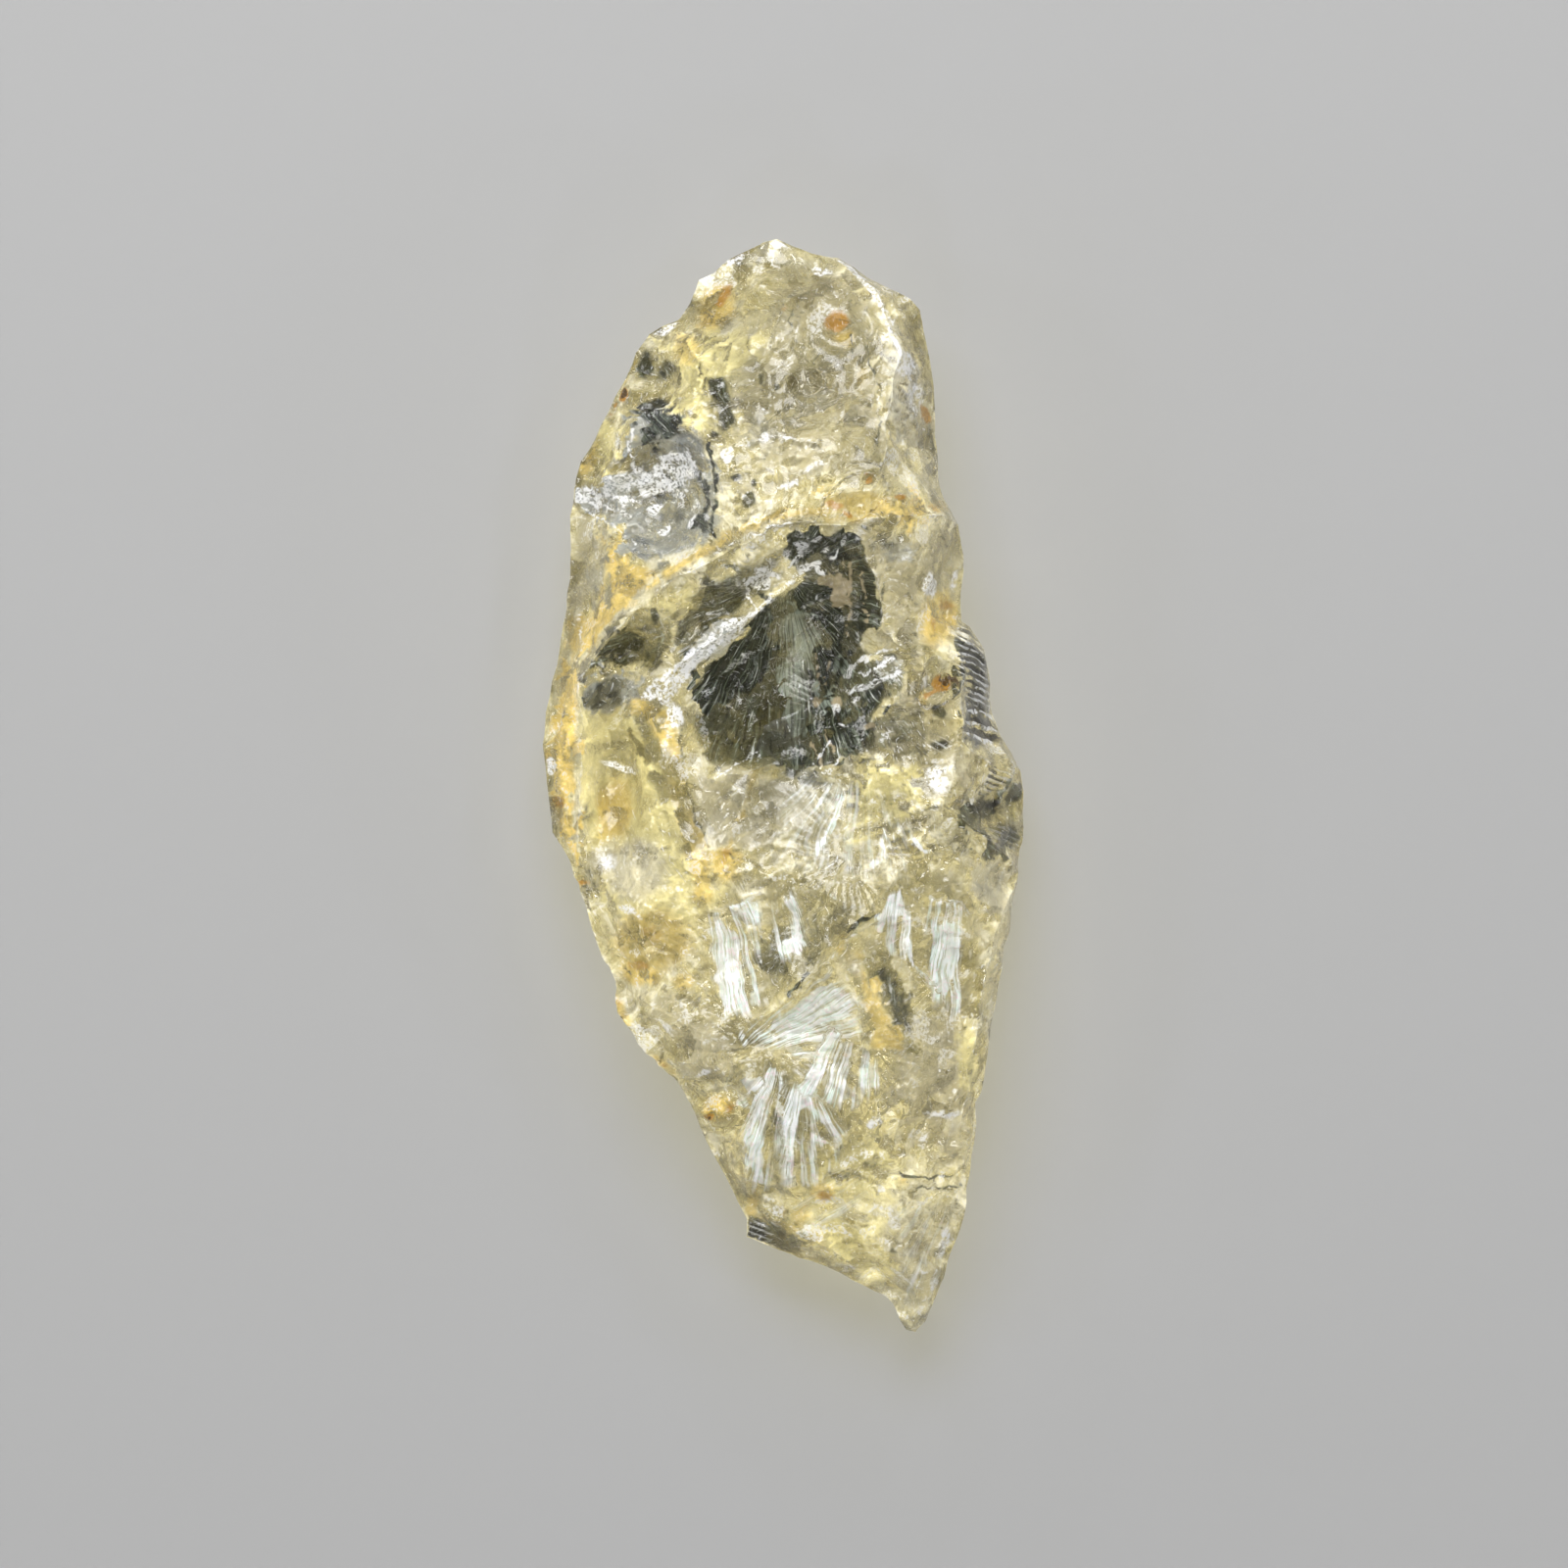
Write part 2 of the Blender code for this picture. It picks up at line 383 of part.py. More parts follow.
def scallop_rise(scallops, point):
    """How far the shells lift the back at one place; the deepest one counts."""
    rise = 0.0
    for x, y, radius, depth in scallops:
        reach = ((point.x - x) ** 2 + (point.y - y) ** 2) / radius ** 2
        rise = max(rise, depth * (1.0 - reach))
    return rise * max(0.0, 1.0 - point.z / SCALLOP_CEILING)


def relief(rim, ridges, swells, spacing, side, flat=None):
    """One relief surface: its points, its triangles, and how many of the points are the rim."""
    surface = coarse_surface(rim, ridges, swells)
    chance = random.Random(SEED + side)
    net = Net()
    net.add_line(rim, closed=True)
    rim_count = len(net.points)
    for line in ridges:
        net.add_line(divide_line(line, spacing))
    held = len(net.points)
    known = KDTree(held)
    for i, point in enumerate(net.points):
        known.insert((point.x, point.y, 0.0), i)
    known.balance()
    for place in inset_rim(rim):
        near = known.find((place.x, place.y, 0.0))[2]
        inside = surface.ray_cast(Vector((place.x, place.y, 100.0)), Vector((0.0, 0.0, -1.0)))[0]
        if inside and near > RIM_INSET * 0.7:
            net.points.append(Vector((place.x, place.y, 0.0)))
    free = scattered_points(spacing, net.points, surface, rim, chance)
    net.points.extend(free)

    places, triangles, origins = triangulate(net.points, net.edges, rim_count)
    points = []
    pinned = []
    for place, origin in zip(places, origins):
        is_held = origin is not None and origin < held
        height = net.points[origin].z if is_held else height_at(surface, place.x, place.y, 0.0)
        points.append(Vector((place.x, place.y, height)))
        pinned.append(is_held)
    shape_faces(points, pinned, triangles, known, side, flat)
    if flat:
        scallops = make_scallops(rim)
        for point in points:
            point.z += scallop_rise(scallops, point)
    is_rim = [origin is not None and origin < rim_count for origin in origins]
    rim_index = [origin if on_rim else None for origin, on_rim in zip(origins, is_rim)]
    return points, triangles, rim_index


def shape_faces(points, pinned, triangles, ridge_tree, side, flat):
    """Even out the faces between ridges, then hollow and roughen them."""
    neighbours = [set() for _ in points]
    for a, b, c in triangles:
        neighbours[a].update((b, c))
        neighbours[b].update((a, c))
        neighbours[c].update((a, b))
    for _ in range(RELAX_STEPS):
        heights = [point.z for point in points]
        for i, point in enumerate(points):
            if not pinned[i] and neighbours[i]:
                mean = sum(heights[j] for j in neighbours[i]) / len(neighbours[i])
                point.z += RELAX_SHARE * (mean - point.z)
    for i, point in enumerate(points):
        if flat and inside_polygon(point.x, point.y, flat):
            point.z = 0.0
        elif not pinned[i]:
            gap = ridge_tree.find((point.x, point.y, 0.0))[2]
            build_up = 1.0 - math.exp(-gap / SAG_REACH)
            grain = noise.noise(Vector((point.x / GRAIN_SIZE, point.y / GRAIN_SIZE, side * 7.0)))
            sink = FACE_SAG * build_up
            if side > 0:
                sink += dish_depth(point.x, point.y) * build_up ** 0.5
            point.z += GRAIN_HEIGHT * grain - side * sink
            point.z = max(point.z, 0.02) if flat else point.z


def inside_polygon(x, y, corners):
    inside = False
    for (x1, y1), (x2, y2) in zip(corners, corners[1:] + corners[:1]):
        if (y1 > y) != (y2 > y) and x < (x2 - x1) * (y - y1) / (y2 - y1) + x1:
            inside = not inside
    return inside


def build_stone():
    rim = make_rim()
    mesh = bmesh.new()
    rim_vertices = [mesh.verts.new(point * MM) for point in rim]
    rest_edge = [(x, y, 0.0) for x, y in REST_FLAT + REST_FLAT[:1]]
    sides = (
        (1, list(FRONT_RIDGES.values()) + growth_lines(), FRONT_SWELLS, FRONT_SPACING, None),
        (-1, list(BACK_RIDGES.values()) + [rest_edge], BACK_SWELLS, BACK_SPACING, REST_FLAT),
    )
    for side, ridges, swells, spacing, flat in sides:
        points, triangles, rim_index = relief(rim, ridges, swells, spacing, side, flat)
        vertices = []
        for point, on_rim in zip(points, rim_index):
            vertices.append(rim_vertices[on_rim] if on_rim is not None else mesh.verts.new(point * MM))
        for triangle in triangles:
            if all(rim_index[i] is not None for i in triangle):
                raise ValueError("a face lies wholly on the rim")
            corners = [vertices[i] for i in triangle]
            if side < 0:
                corners.reverse()
            mesh.faces.new(corners)
    bmesh.ops.recalc_face_normals(mesh, faces=mesh.faces)
    data = bpy.data.meshes.new("quartz_crystal")
    mesh.to_mesh(data)
    mesh.free()
    stone = bpy.data.objects.new("quartz_crystal", data)
    bpy.context.collection.objects.link(stone)
    return stone


def cut_pits(stone):
    """Cut each round pit with a small ball whose lowest point is the bottom of the pit."""
    evaluated = BVHTree.FromObject(stone, bpy.context.evaluated_depsgraph_get())
    for name, (x, y, radius, depth) in PITS.items():
        face_height = evaluated.ray_cast(Vector((x, y, 100.0)) * MM, Vector((0.0, 0.0, -1.0)))[0].z
        ball_radius = (radius ** 2 + depth ** 2) / (2 * depth) if depth < radius else radius
        mesh = bmesh.new()
        bmesh.ops.create_icosphere(mesh, subdivisions=2, radius=ball_radius * MM)
        place = Matrix.Translation((x * MM, y * MM, face_height + (ball_radius - depth) * MM))
        bmesh.ops.transform(mesh, matrix=place, verts=mesh.verts)
        data = bpy.data.meshes.new(name)
        mesh.to_mesh(data)
        mesh.free()
        cutter = bpy.data.objects.new("cutter " + name, data)
        bpy.context.collection.objects.link(cutter)
        cutter.hide_render = True
        cutter.display_type = "WIRE"
        cut = stone.modifiers.new(name, "BOOLEAN")
        cut.operation = "DIFFERENCE"
        cut.solver = "EXACT"
        cut.object = cutter


def quartz_material():
    material = bpy.data.materials.new("rough quartz")
    material.use_nodes = True
    shader = material.node_tree.nodes["Principled BSDF"]
    shader.inputs["Base Color"].default_value = STONE_COLOUR
    shader.inputs["Roughness"].default_value = STONE_ROUGHNESS
    shader.inputs["IOR"].default_value = STONE_IOR
    shader.inputs["Metallic"].default_value = 0.0
    return material


def main():
    clear_scene()
    stone = build_stone()
    stone.data.materials.append(quartz_material())
    cut_pits(stone)


main()
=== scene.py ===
import math
import random

import bpy
import numpy as np
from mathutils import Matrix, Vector, noise
from mathutils.kdtree import KDTree


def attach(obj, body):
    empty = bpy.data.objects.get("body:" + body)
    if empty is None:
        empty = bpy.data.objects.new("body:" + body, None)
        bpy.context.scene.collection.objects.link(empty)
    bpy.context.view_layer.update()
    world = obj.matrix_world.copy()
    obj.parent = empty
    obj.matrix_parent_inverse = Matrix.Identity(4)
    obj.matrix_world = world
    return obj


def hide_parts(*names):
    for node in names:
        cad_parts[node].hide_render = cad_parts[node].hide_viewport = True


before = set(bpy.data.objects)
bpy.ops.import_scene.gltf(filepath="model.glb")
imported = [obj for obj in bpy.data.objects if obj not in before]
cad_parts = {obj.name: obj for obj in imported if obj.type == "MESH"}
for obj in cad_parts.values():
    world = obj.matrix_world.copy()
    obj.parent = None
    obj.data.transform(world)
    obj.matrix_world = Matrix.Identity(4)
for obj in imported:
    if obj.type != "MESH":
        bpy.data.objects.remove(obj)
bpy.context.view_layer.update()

mm = 0.001


stoneShape = {
    "cuts": 4,  # cuts along each edge of the solid's faces
    "ridgeAngle": 17.0,  # degrees between faces that make a ridge
    "ridgeReach": 0.9,  # mm over which a face turns smooth beside a ridge
    "smoothShare": 0.6,  # of the way to the middle of its neighbours that a point goes in each step
    "smoothSteps": 8,
    "topFacing": 0.1,  # least upward part of the normal of the faces that count as top
    "rimFacing": 0.55,  # most upward part of the normal of the ridges that count as rim
    "sideFacing": 0.3,  # most upward part of the normal of the faces at the outline
    "outlineLimit": 0.2,  # mm that the flakes may cut away at the outline
    "limitGain": 0.9,  # mm more inside it
    "limitReach": 2.5,  # mm from the outline to where the full limit holds
    "front": (-0.1, 0.3),  # upward part of the normal where the tones start and where they are full
    "flat": 0.01,  # mm; all below it is the flat underside
    "lump": 0.06,  # mm, broad unevenness
    "lumpSize": 2.6,  # mm
    "grain": 0.012,  # mm, fine unevenness
    "grainSize": 0.6,  # mm
    "flowSize": 14.0,  # mm over which the flakes change their direction
    "flowTurn": (0.6, 2.4),  # radians, their middle direction and how far it swings
    "warp": ((1.3, 0.30), (0.6, 0.20)),  # size and height in mm of the two waves that bend the tones
    "least": 0.02,  # mm above the floor for all that isn't the flat
    "jag": 1.5,  # mm, how far the flakes shift the edges of the tones
    "lightSide": (-0.05, 0.05, 0.99),  # painted shade by slope: faces that lean this way are painted duller, the others lighter
    "slopeShadeSteps": 5,  # how widely slopes are read for their painted shade
    "reliefShadeSteps": 110,  # how widely ridges and valleys are read for their painted light and shade
    "ridgeGlintBulge": (0.02, 0.14),  # mm that a point stands out where the painted glint on a crest starts and where it is full
    "strandWarp": 0.3,  # share of the warp of the tones that bends the strands of the veils
    "strandSway": (2.4, 0.25),  # size and height in mm of the wave across the strands
    "keptFaces": 0.95,  # share of the faces left after the flat ones are thinned
    "smoothAngle": 28.0,  # degrees
    "seed": 7,
}

# Flakes knocked off: how many, radius of the hollow and its depth in mm
flakes = {
    "broad": {"count": 170, "radius": (2.2, 4.6), "depth": (0.12, 0.42)},
    "window": {"count": 120, "radius": (1.2, 3.2), "depth": (0.03, 0.12)},
    "middle": {"count": 1100, "radius": (0.9, 2.2), "depth": (0.07, 0.26)},
    "small": {"count": 4200, "radius": (0.45, 0.95), "depth": (0.04, 0.13)},
    "ridges": {"count": 1100, "radius": (0.5, 1.7), "depth": (0.06, 0.26)},
    "rim": {"count": 800, "radius": (0.5, 2.2), "depth": (0.06, 0.30)},
    "back": {"count": 1300, "radius": (0.9, 3.6), "depth": (0.15, 0.9)},
}
flakeHabit = {
    "smallMore": 1.6,  # above 1, small flakes outnumber large ones
    "tilt": 0.45,  # how far a hollow leans from the face it is in
    "turnSpread": 0.45,  # radians
    "narrowest": 0.32,  # width over length
    "reachMargin": 0.5,  # mm
    "leastDrop": 0.012,  # mm; a point lowered by less keeps its old shade
    "shadeSpread": 0.18,  # how unlike the painted brightness of two flakes is
    "shadeSlope": 0.28,  # how much the painted shade changes across one flake
}
# Where each noise is read from, so that no two are alike
offsets = {"flow": 5.0, "wander": 3.1, "lump": 11.0, "grain": 23.0, "warpX": 31.0, "warpY": 41.0,
           "fineWarpY": 53.0, "strands": 61.0}

# Rings and rays left by the blow on the larger hollows: centre, reach, spacing, height in mm
rings = {
    "scoop rings": {"centre": (-9.6, 19.6), "reach": 6.2, "spacing": 1.05, "height": 0.05},
    "hollow rings": {"centre": (0.2, 14.4), "reach": 12.0, "spacing": 1.5, "height": 0.045},
    "fan rings": {"centre": (5.6, -19.6), "reach": 9.0, "spacing": 1.2, "height": 0.06},
    "lobe rings": {"centre": (1.9, 29.2), "reach": 7.0, "spacing": 1.4, "height": 0.05},
    "left scoop rings": {"centre": (-12.4, 7.6), "reach": 12.0, "spacing": 1.7, "height": 0.04},
}
rays = {
    "hollow rays": {"centre": (0.1, 14.4), "reach": 12.5, "count": 46, "height": 0.075},
    "fan rays": {"centre": (5.4, -18.4), "reach": 8.6, "count": 40, "height": 0.085},
    "feather rays": {"centre": (-0.6, -19.0), "reach": 11.0, "count": 34, "height": 0.085},
    "wedge rays": {"centre": (4.4, -10.6), "reach": 9.0, "count": 40, "height": 0.05},
    "shard rays": {"centre": (4.4, -5.4), "reach": 7.5, "count": 30, "height": 0.08},
}
rayHabit = {
    "turnWander": 0.05,  # radians
    "sawWander": 0.6,
    "quiet": 1.5,  # mm around the centre where the rays fade in
}
# Edges of lines and spots, as shares of their half widths: where they are full and where they end
maskEdges = {"line": (0.4, 1.3), "spot": (0.45, 1.35)}


def area(strength, softness, *outline):
    # outline: x, y, x, y and so on, in mm
    return "area", strength, softness, list(zip(outline[::2], outline[1::2]))


def line(strength, halfWidth, *course):
    return "line", strength, halfWidth, list(zip(course[::2], course[1::2]))


def spot(strength, x, y, halfX, halfY, turn=0):
    return "spot", strength, x, y, halfX, halfY, turn


# Tones laid over each other in this order. cover: how much they hide of the clear stone (0 to 1),
# tear: how ragged their edges are, soft: how wide the edges are, flaky: how much the flakes tear them,
# soak: how far the tone stains the glass below
tones = {
    "beige": {"colour": (0.35, 0.32, 0.215), "cover": 0.58, "tear": 1.2, "soft": 0.45, "shapes": [
        area(1, 1.2, -1, 36.5, 3, 37.6, 6, 35.6, 7, 31, 7, 26, 9.6, 22.6, 8, 21.8, 2, 22.2, -2.6, 22.6,
            -3, 27, -1.6, 31),
        area(0.8, 0.9, 6, 18.4, 10.4, 18.8, 12.8, 18.4, 12.9, 13.6, 10, 12, 10.2, 8.4, 12.2, 8.6, 12.6, 3,
            15.4, 2, 13.4, -0.8, 10, -0.6, 8, 1.6, 6.4, 2.6, 7.8, 5, 9.2, 8.2, 7.2, 12, 6.2, 15.6),
        area(0.9, 0.8, -15.6, 19.2, -13.4, 19, -12.6, 16.6, -13.6, 13.2, -15.6, 12.4),
        area(0.9, 1.2, -8.8, -15.4, -4.8, -16.4, -3.2, -19.4, -5.4, -22.2, -7.6, -20.6, -10.4, -17),
        area(0.9, 1.4, 8, -17.6, 13.6, -15.8, 14, -22, 12.6, -27.4, 9.4, -26.6, 7, -22),
        area(0.8, 1, 7.4, -30.6, 12.8, -31, 11, -36.6, 9.6, -39, 7.6, -36.4),
    ]},
    "lemon": {"colour": (0.9, 0.8, 0.35), "cover": 0.54, "tear": 1.2, "soft": 0.5, "shapes": [
        area(0.9, 0.9, -14.8, 5.2, -11, 5.6, -8.4, 4.6, -7.2, 0, -5.8, -4.6, -4.6, -8, -6.4, -11,
            -12.6, -9.6, -14.2, -4, -14.8, 0),
        area(0.8, 0.7, -14.6, 22.6, -13.6, 25.6, -12.4, 27.2, -11.6, 26.4, -12.4, 23.6, -13, 22.4),
        area(0.75, 0.8, -9.6, 32.4, -6.4, 32.8, -2.4, 32.4, -1.6, 31.2, -3.8, 29.8, -4.4, 25.4,
            -6.2, 25.2, -8.6, 27.6, -7.6, 29.4),
        area(1, 0.35, 5.8, 1.4, 7.2, 1.8, 9.8, 1.2, 10.2, -1.2, 9, -2, 6.6, -3.2, 4.9, -4, 5, -2.4),
        area(0.8, 1.2, 3, -25.8, 7.2, -25.6, 8.6, -28, 8, -30.6, 4, -30.2, 1, -31.6, 0.6, -30.2),
        area(1, 0.12, 15.5, -1.1, 17.3, -1, 17.3, -3.3, 16.4, -2.7), spot(0.7, 13.4, -20.2, 0.9, 3.2, 5),
        spot(0.6, 12.2, -10.2, 1.4, 0.8),
        area(0.7, 0.8, 2, -31.4, 7.6, -32, 8.2, -36.6, 5, -35, 1, -33.6),
        area(0.7, 0.7, -6.6, 11.8, -7.4, 14.6, -9.6, 13.4, -9.4, 12.4),
    ]},
    "amber": {"colour": (0.72, 0.51, 0.11), "cover": 0.62, "tear": 1.1, "soft": 0.5, "shapes": [
        area(1, 0.5, -12.8, 18.4, -11.8, 16.6, -9, 15.4, -10, 14, -12.6, 12, -14.4, 9.4, -15.2, 8.4,
            -15.8, 9.6, -14.6, 12.2, -13.2, 13.2, -12.8, 15.6),
        area(1, 0.25, -16.4, 8.6, -15.2, 7.8, -15.1, 0.6, -15, -3.4, -15.4, -5.6, -16.8, -2.4, -17.3, 1.4,
            -17, 6),
        line(0.75, 0.5, -8.6, 15, -4, 17.8, 0, 19.4, 3.2, 19.8),
        area(0.8, 0.5, 2.4, 20.6, 5, 20.8, 8.6, 21.2, 10, 20.4, 9.8, 18.8, 8, 18.9, 5.2, 19.3, 3.4, 19.4),
        line(0.75, 0.9, -10.4, 5.8, -8.9, 4.4, -8.1, 1.4, -7.2, -1.6, -6.2, -4.6, -5.8, -8),
        spot(1, -12.3, -1.8, 1.4, 2.6, -8), spot(1, -9.6, -11.4, 3, 2.4, 10),
        spot(0.9, -10.4, -13.6, 1.6, 1.2), spot(1, 11.2, 12, 1.3, 2.2, -15),
        spot(0.8, 12, 12.4, 0.8, 1.6), area(0.6, 0.6, -3, -31, 1, -31.4, 3.6, -33.8, -0.4, -34.2),
        spot(0.9, -4.2, -5.6, 1.3, 1.5), line(0.8, 0.35, -2.2, 0.6, -3, -2.4, -4.2, -4.6),
        area(0.75, 0.35, 3.4, -11.3, 5, -11.1, 6.4, -13.6, 7.6, -16.6, 8.4, -19, 6, -19, 5.2, -16,
            4.8, -13.4),
        spot(0.9, -4.8, -23.6, 1.3, 1), spot(0.9, 2.7, -29.7, 1.1, 0.9),
        spot(0.6, 1.2, -31.4, 1, 0.7, 30), spot(0.8, -12.2, -16.6, 0.7, 1.6, 30),
        spot(0.7, -8.9, -20.6, 1.3, 0.5, -30), spot(0.9, -5, 34.6, 1.3, 2, -35),
        spot(0.6, -7.2, 31.6, 1.2, 1.3), spot(0.6, -11.2, 30.6, 0.4, 1.6, -20),
        spot(0.7, -14.2, 23.8, 0.7, 1.8, -20), spot(0.7, 4, 13.6, 0.7, 1.4),
        spot(0.8, 4.4, 32.2, 0.9, 0.8), spot(0.6, -5.2, 11.8, 1.4, 0.7, 20),
        spot(0.7, -7.2, -14.4, 0.9, 0.8), spot(0.7, -2.2, -30.6, 0.6, 1.6),
        spot(0.6, 8.6, -28.6, 0.5, 0.6), spot(0.5, 5.6, 29.4, 0.6, 1), spot(0.7, 11.3, 20.2, 0.9, 0.6),
        spot(0.6, 10, 6.2, 0.5, 0.6),
    ]},
    "cream": {"colour": (0.6, 0.56, 0.41), "cover": 0.6, "tear": 0.8, "soft": 0.4, "shapes": [
        line(0.62, 0.5, -14.4, 9.2, -12.9, 10.8, -11, 12.7, -8.8, 14.4, -6.4, 15.8, -3.6, 17.3,
            -0.6, 18.7, 2.4, 19.1),
        # the spot at -13, -5.6 is a painted highlight on the pale patch beside it
        spot(0.9, -10.8, -6.2, 2.6, 2.7), spot(0.8, -13, -5.6, 1.4, 1.6, 20),
        area(0.8, 0.35, -6.8, 0.4, -2.8, 0.5, -3.4, -1.4, -3.8, -4, -5, -4.6, -5.8, -2.4, -6.4, -0.8),
        area(0.8, 0.4, -2.4, 0.6, 1.5, -0.3, 2.7, -1.6, 1.6, -3.4, -1.4, -4.8, -3.8, -4.2, -2.8, -1.6),
        area(0.7, 0.3, 3, 14.8, 4.6, 14.8, 4.8, 13, 3.4, 12.8), spot(0.8, 7.4, 3.4, 2.4, 1.4, 10),
        spot(0.7, 2, 6, 0.5, 0.8), spot(0.7, 4.1, -13.2, 0.5, 1.3, 10), spot(0.7, 5, -13, 0.6, 1.6, 20),
        spot(0.6, 12, -24.6, 1.6, 1.2), spot(0.6, 12, 1, 1.4, 1.6), spot(0.7, -2.8, 21.2, 0.6, 0.7),
        spot(0.6, 0.6, 22.2, 2.4, 0.5, 20),
        area(0.8, 0.5, 7.6, 31, 9.8, 30.4, 11, 27, 11, 23.4, 8.4, 24, 7.4, 27.6),
        area(0.8, 0.3, 13.4, -5.8, 15.6, -5.4, 17, -6.2, 16.6, -9.2, 14.8, -9.4, 13.6, -7.6),
        area(0.7, 0.4, -15.4, 21.8, -12.4, 21.6, -9.8, 20.4, -10.6, 18, -13.2, 19.6, -15.5, 20.2),
        line(0.8, 0.3, 4.9, 37.6, 6.4, 36, 7.3, 34, 8, 32, 8.6, 31),
        line(0.5, 0.3, -15.1, 7, -15, 3, -15, -1, -15.2, -4), spot(0.5, -0.6, 11.6, 0.4, 0.4),
        spot(0.6, 8.2, 29.4, 0.7, 1.4), line(0.7, 0.3, 6.6, 8.4, 8.4, 9.2, 9.8, 9.4),
        spot(0.6, 10.2, -2.6, 1.4, 0.5, 15),
    ]},
    "olive": {"colour": (0.17, 0.15, 0.06), "cover": 0.56, "soak": 0.6,
              "tear": 1.1, "soft": 0.45, "shapes": [
        area(0.95, 0.35, -13.8, 8.4, -13.2, 10.4, -12.2, 11.4, -10, 12.2, -8.4, 12, -7.8, 10, -9.4, 8.8,
            -11.4, 8.4),
        area(0.95, 0.35, -7.2, 4.8, -3.6, 5.2, -1, 4.8, 0.6, 3.6, 1.7, 2.2, 1.4, 1, 0.2, 0.1, -0.6, 1.4,
            -3.4, 1.3, -6, 1.8, -7, 3),
        # painted shade on the wedge's right facet, which faces away from the light
        area(1.25, 0.3, 5.9, -11.8, 7.6, -12.2, 8.6, -13.8, 9.5, -16.8, 9.6, -19.4, 8.5, -18, 7.3, -15.8,
            6.4, -13.4),
        area(0.86, 0.8, -11.4, 5.2, -8.8, 4.8, -7.4, 1.2, -6.2, -2, -5.3, -4.8, -6.8, -4.2, -8.9, 0,
            -10.6, 3.2),
        area(0.62, 1, 2.2, -5.4, 6.2, -6.6, 12.8, -6.4, 14.8, -10, 13.6, -17, 12, -17.2, 9.2, -13.8,
            6, -10.4, 2.4, -11),
        area(0.6, 0.8, -2.6, -19, 3, -20, 5.4, -24.4, 2, -29.4, -2.8, -29.6),
        area(0.55, 0.8, -3.2, -31.4, 1, -31.2, 4.6, -34.4, 0, -34.4),
        area(0.5, 1, -2.4, -6, -1.6, -16, 4, -13.6, 8, -12, 6.4, -7, 2, -6),
        spot(0.6, -1.8, -20.4, 2.2, 0.6), spot(0.6, -3.4, -18.2, 1.2, 0.9, -50),
        spot(0.6, 13.2, -3.2, 2.2, 0.9, 25), spot(0.8, 16.2, -3.8, 1.2, 0.9),
        spot(0.7, -4.6, 27.6, 1.2, 2.4, 15), spot(0.7, -9.6, 30.2, 1.7, 1.2),
        spot(0.5, 2.8, -12.8, 2.6, 0.6, 35), spot(0.4, 0.8, -10, 2, 3), spot(0.6, 6.9, 2.6, 0.9, 0.7),
        spot(0.55, 0.6, 28, 1.2, 3), spot(0.4, 6.4, 33.6, 0.5, 2.4, 10),
        spot(0.4, 9.4, -36.6, 0.7, 2, 10), area(0.46, 1, -4, 36, 2, 38.6, 7, 34, 7.2, 27, 3, 23, -2, 25),
        area(0.5, 0.8, 2.6, 22, 10.4, 21.6, 10.4, 24.4, 6, 25.6, 2.6, 24.6),
        spot(0.54, -9.6, -11.4, 2.8, 2.4, 10), spot(0.54, 5.5, -27.6, 2.8, 2.2),
        spot(0.5, 7.6, -1.6, 2.6, 2.2),
        area(0.42, 0.8, -10, 14.4, -4, 18.4, 2, 20.4, 9, 21.6, 9.4, 19.6, 0, 18.2),
        area(0.46, 0.8, -3.4, 3, 4, 0.4, 3, -4, -4.6, -5, -6.6, -0.6),
    ]},
    "steel": {"colour": (0.22, 0.25, 0.275), "cover": 0.62, "flaky": 0.8,
              "tear": 1.2, "soft": 0.45, "shapes": [
        area(1, 0.4, -11.2, 26.8, -8.6, 26.8, -5.6, 24.4, -4.8, 21.8, -5, 18.8, -6.8, 16.8, -9.4, 16.2,
            -11.6, 17.4, -13, 19.2, -15.4, 20, -15.3, 21.6, -12.6, 21.8, -11.4, 23.4),
        area(0.9, 0.25, -14.8, 5.2, -14.7, 7.8, -12.6, 8, -10.4, 7.6, -9.6, 6.2, -11, 6.4, -12.4, 5.2),
        area(0.3, 0.4, 7.4, 31.4, 9.6, 31, 10.8, 29, 10.9, 24.4, 8.8, 24, 7.2, 26.2),
        area(0.4, 0.3, 13.4, -6.2, 15.4, -5.6, 16.6, -6.4, 16.4, -8.8, 15.2, -9.2, 13.8, -7.8),
        spot(0.7, 1.8, 0.4, 1.6, 0.7, -15), spot(0.6, 8.2, 17, 2, 1, -20),
        spot(0.8, -4.8, 10.6, 3.6, 1.2, 38), spot(0.5, -13.8, 15, 0.9, 1.4),
        spot(0.5, -1.6, 24.8, 1.6, 1.8),
    ]},
    "moss": {"colour": (0.03, 0.034, 0.018), "cover": 0.62, "soak": 0.9, "flaky": 0.8,
             "tear": 0.75, "soft": 0.25, "shapes": [
        area(1, 0.3, 0.2, 17.2, 3, 18.3, 5.4, 18.8, 6.5, 15.4, 7.2, 11.4, 5.8, 9.6, 5, 8.6, 8.2, 6.9,
            7, 5.6, 5.8, 2.2, 3.4, 1.6, 0.4, 0.3, -0.8, 1.8, -4, 3, -6.4, 4.8, -6.6, 7.6, -3.6, 10.8,
            0, 14, 1.6, 15, 1, 16),
        area(0.6, 1, -7.2, 5.4, -3, 4, 0.4, 1.6, 0.4, 0.2, -2.6, 0.6, -5.4, 1.2, -7.2, 3),
        # painted shade on the wedge's right facet, which faces away from the light
        area(0.62, 0.4, 6.6, -12.8, 7.8, -13, 9, -15.4, 9.4, -18.4, 8.4, -17.4, 7.2, -15),
        area(0.9, 0.15, 15.4, -0.2, 17.4, 0.3, 17.7, -0.9, 16.4, -0.9, 15.3, -0.7),
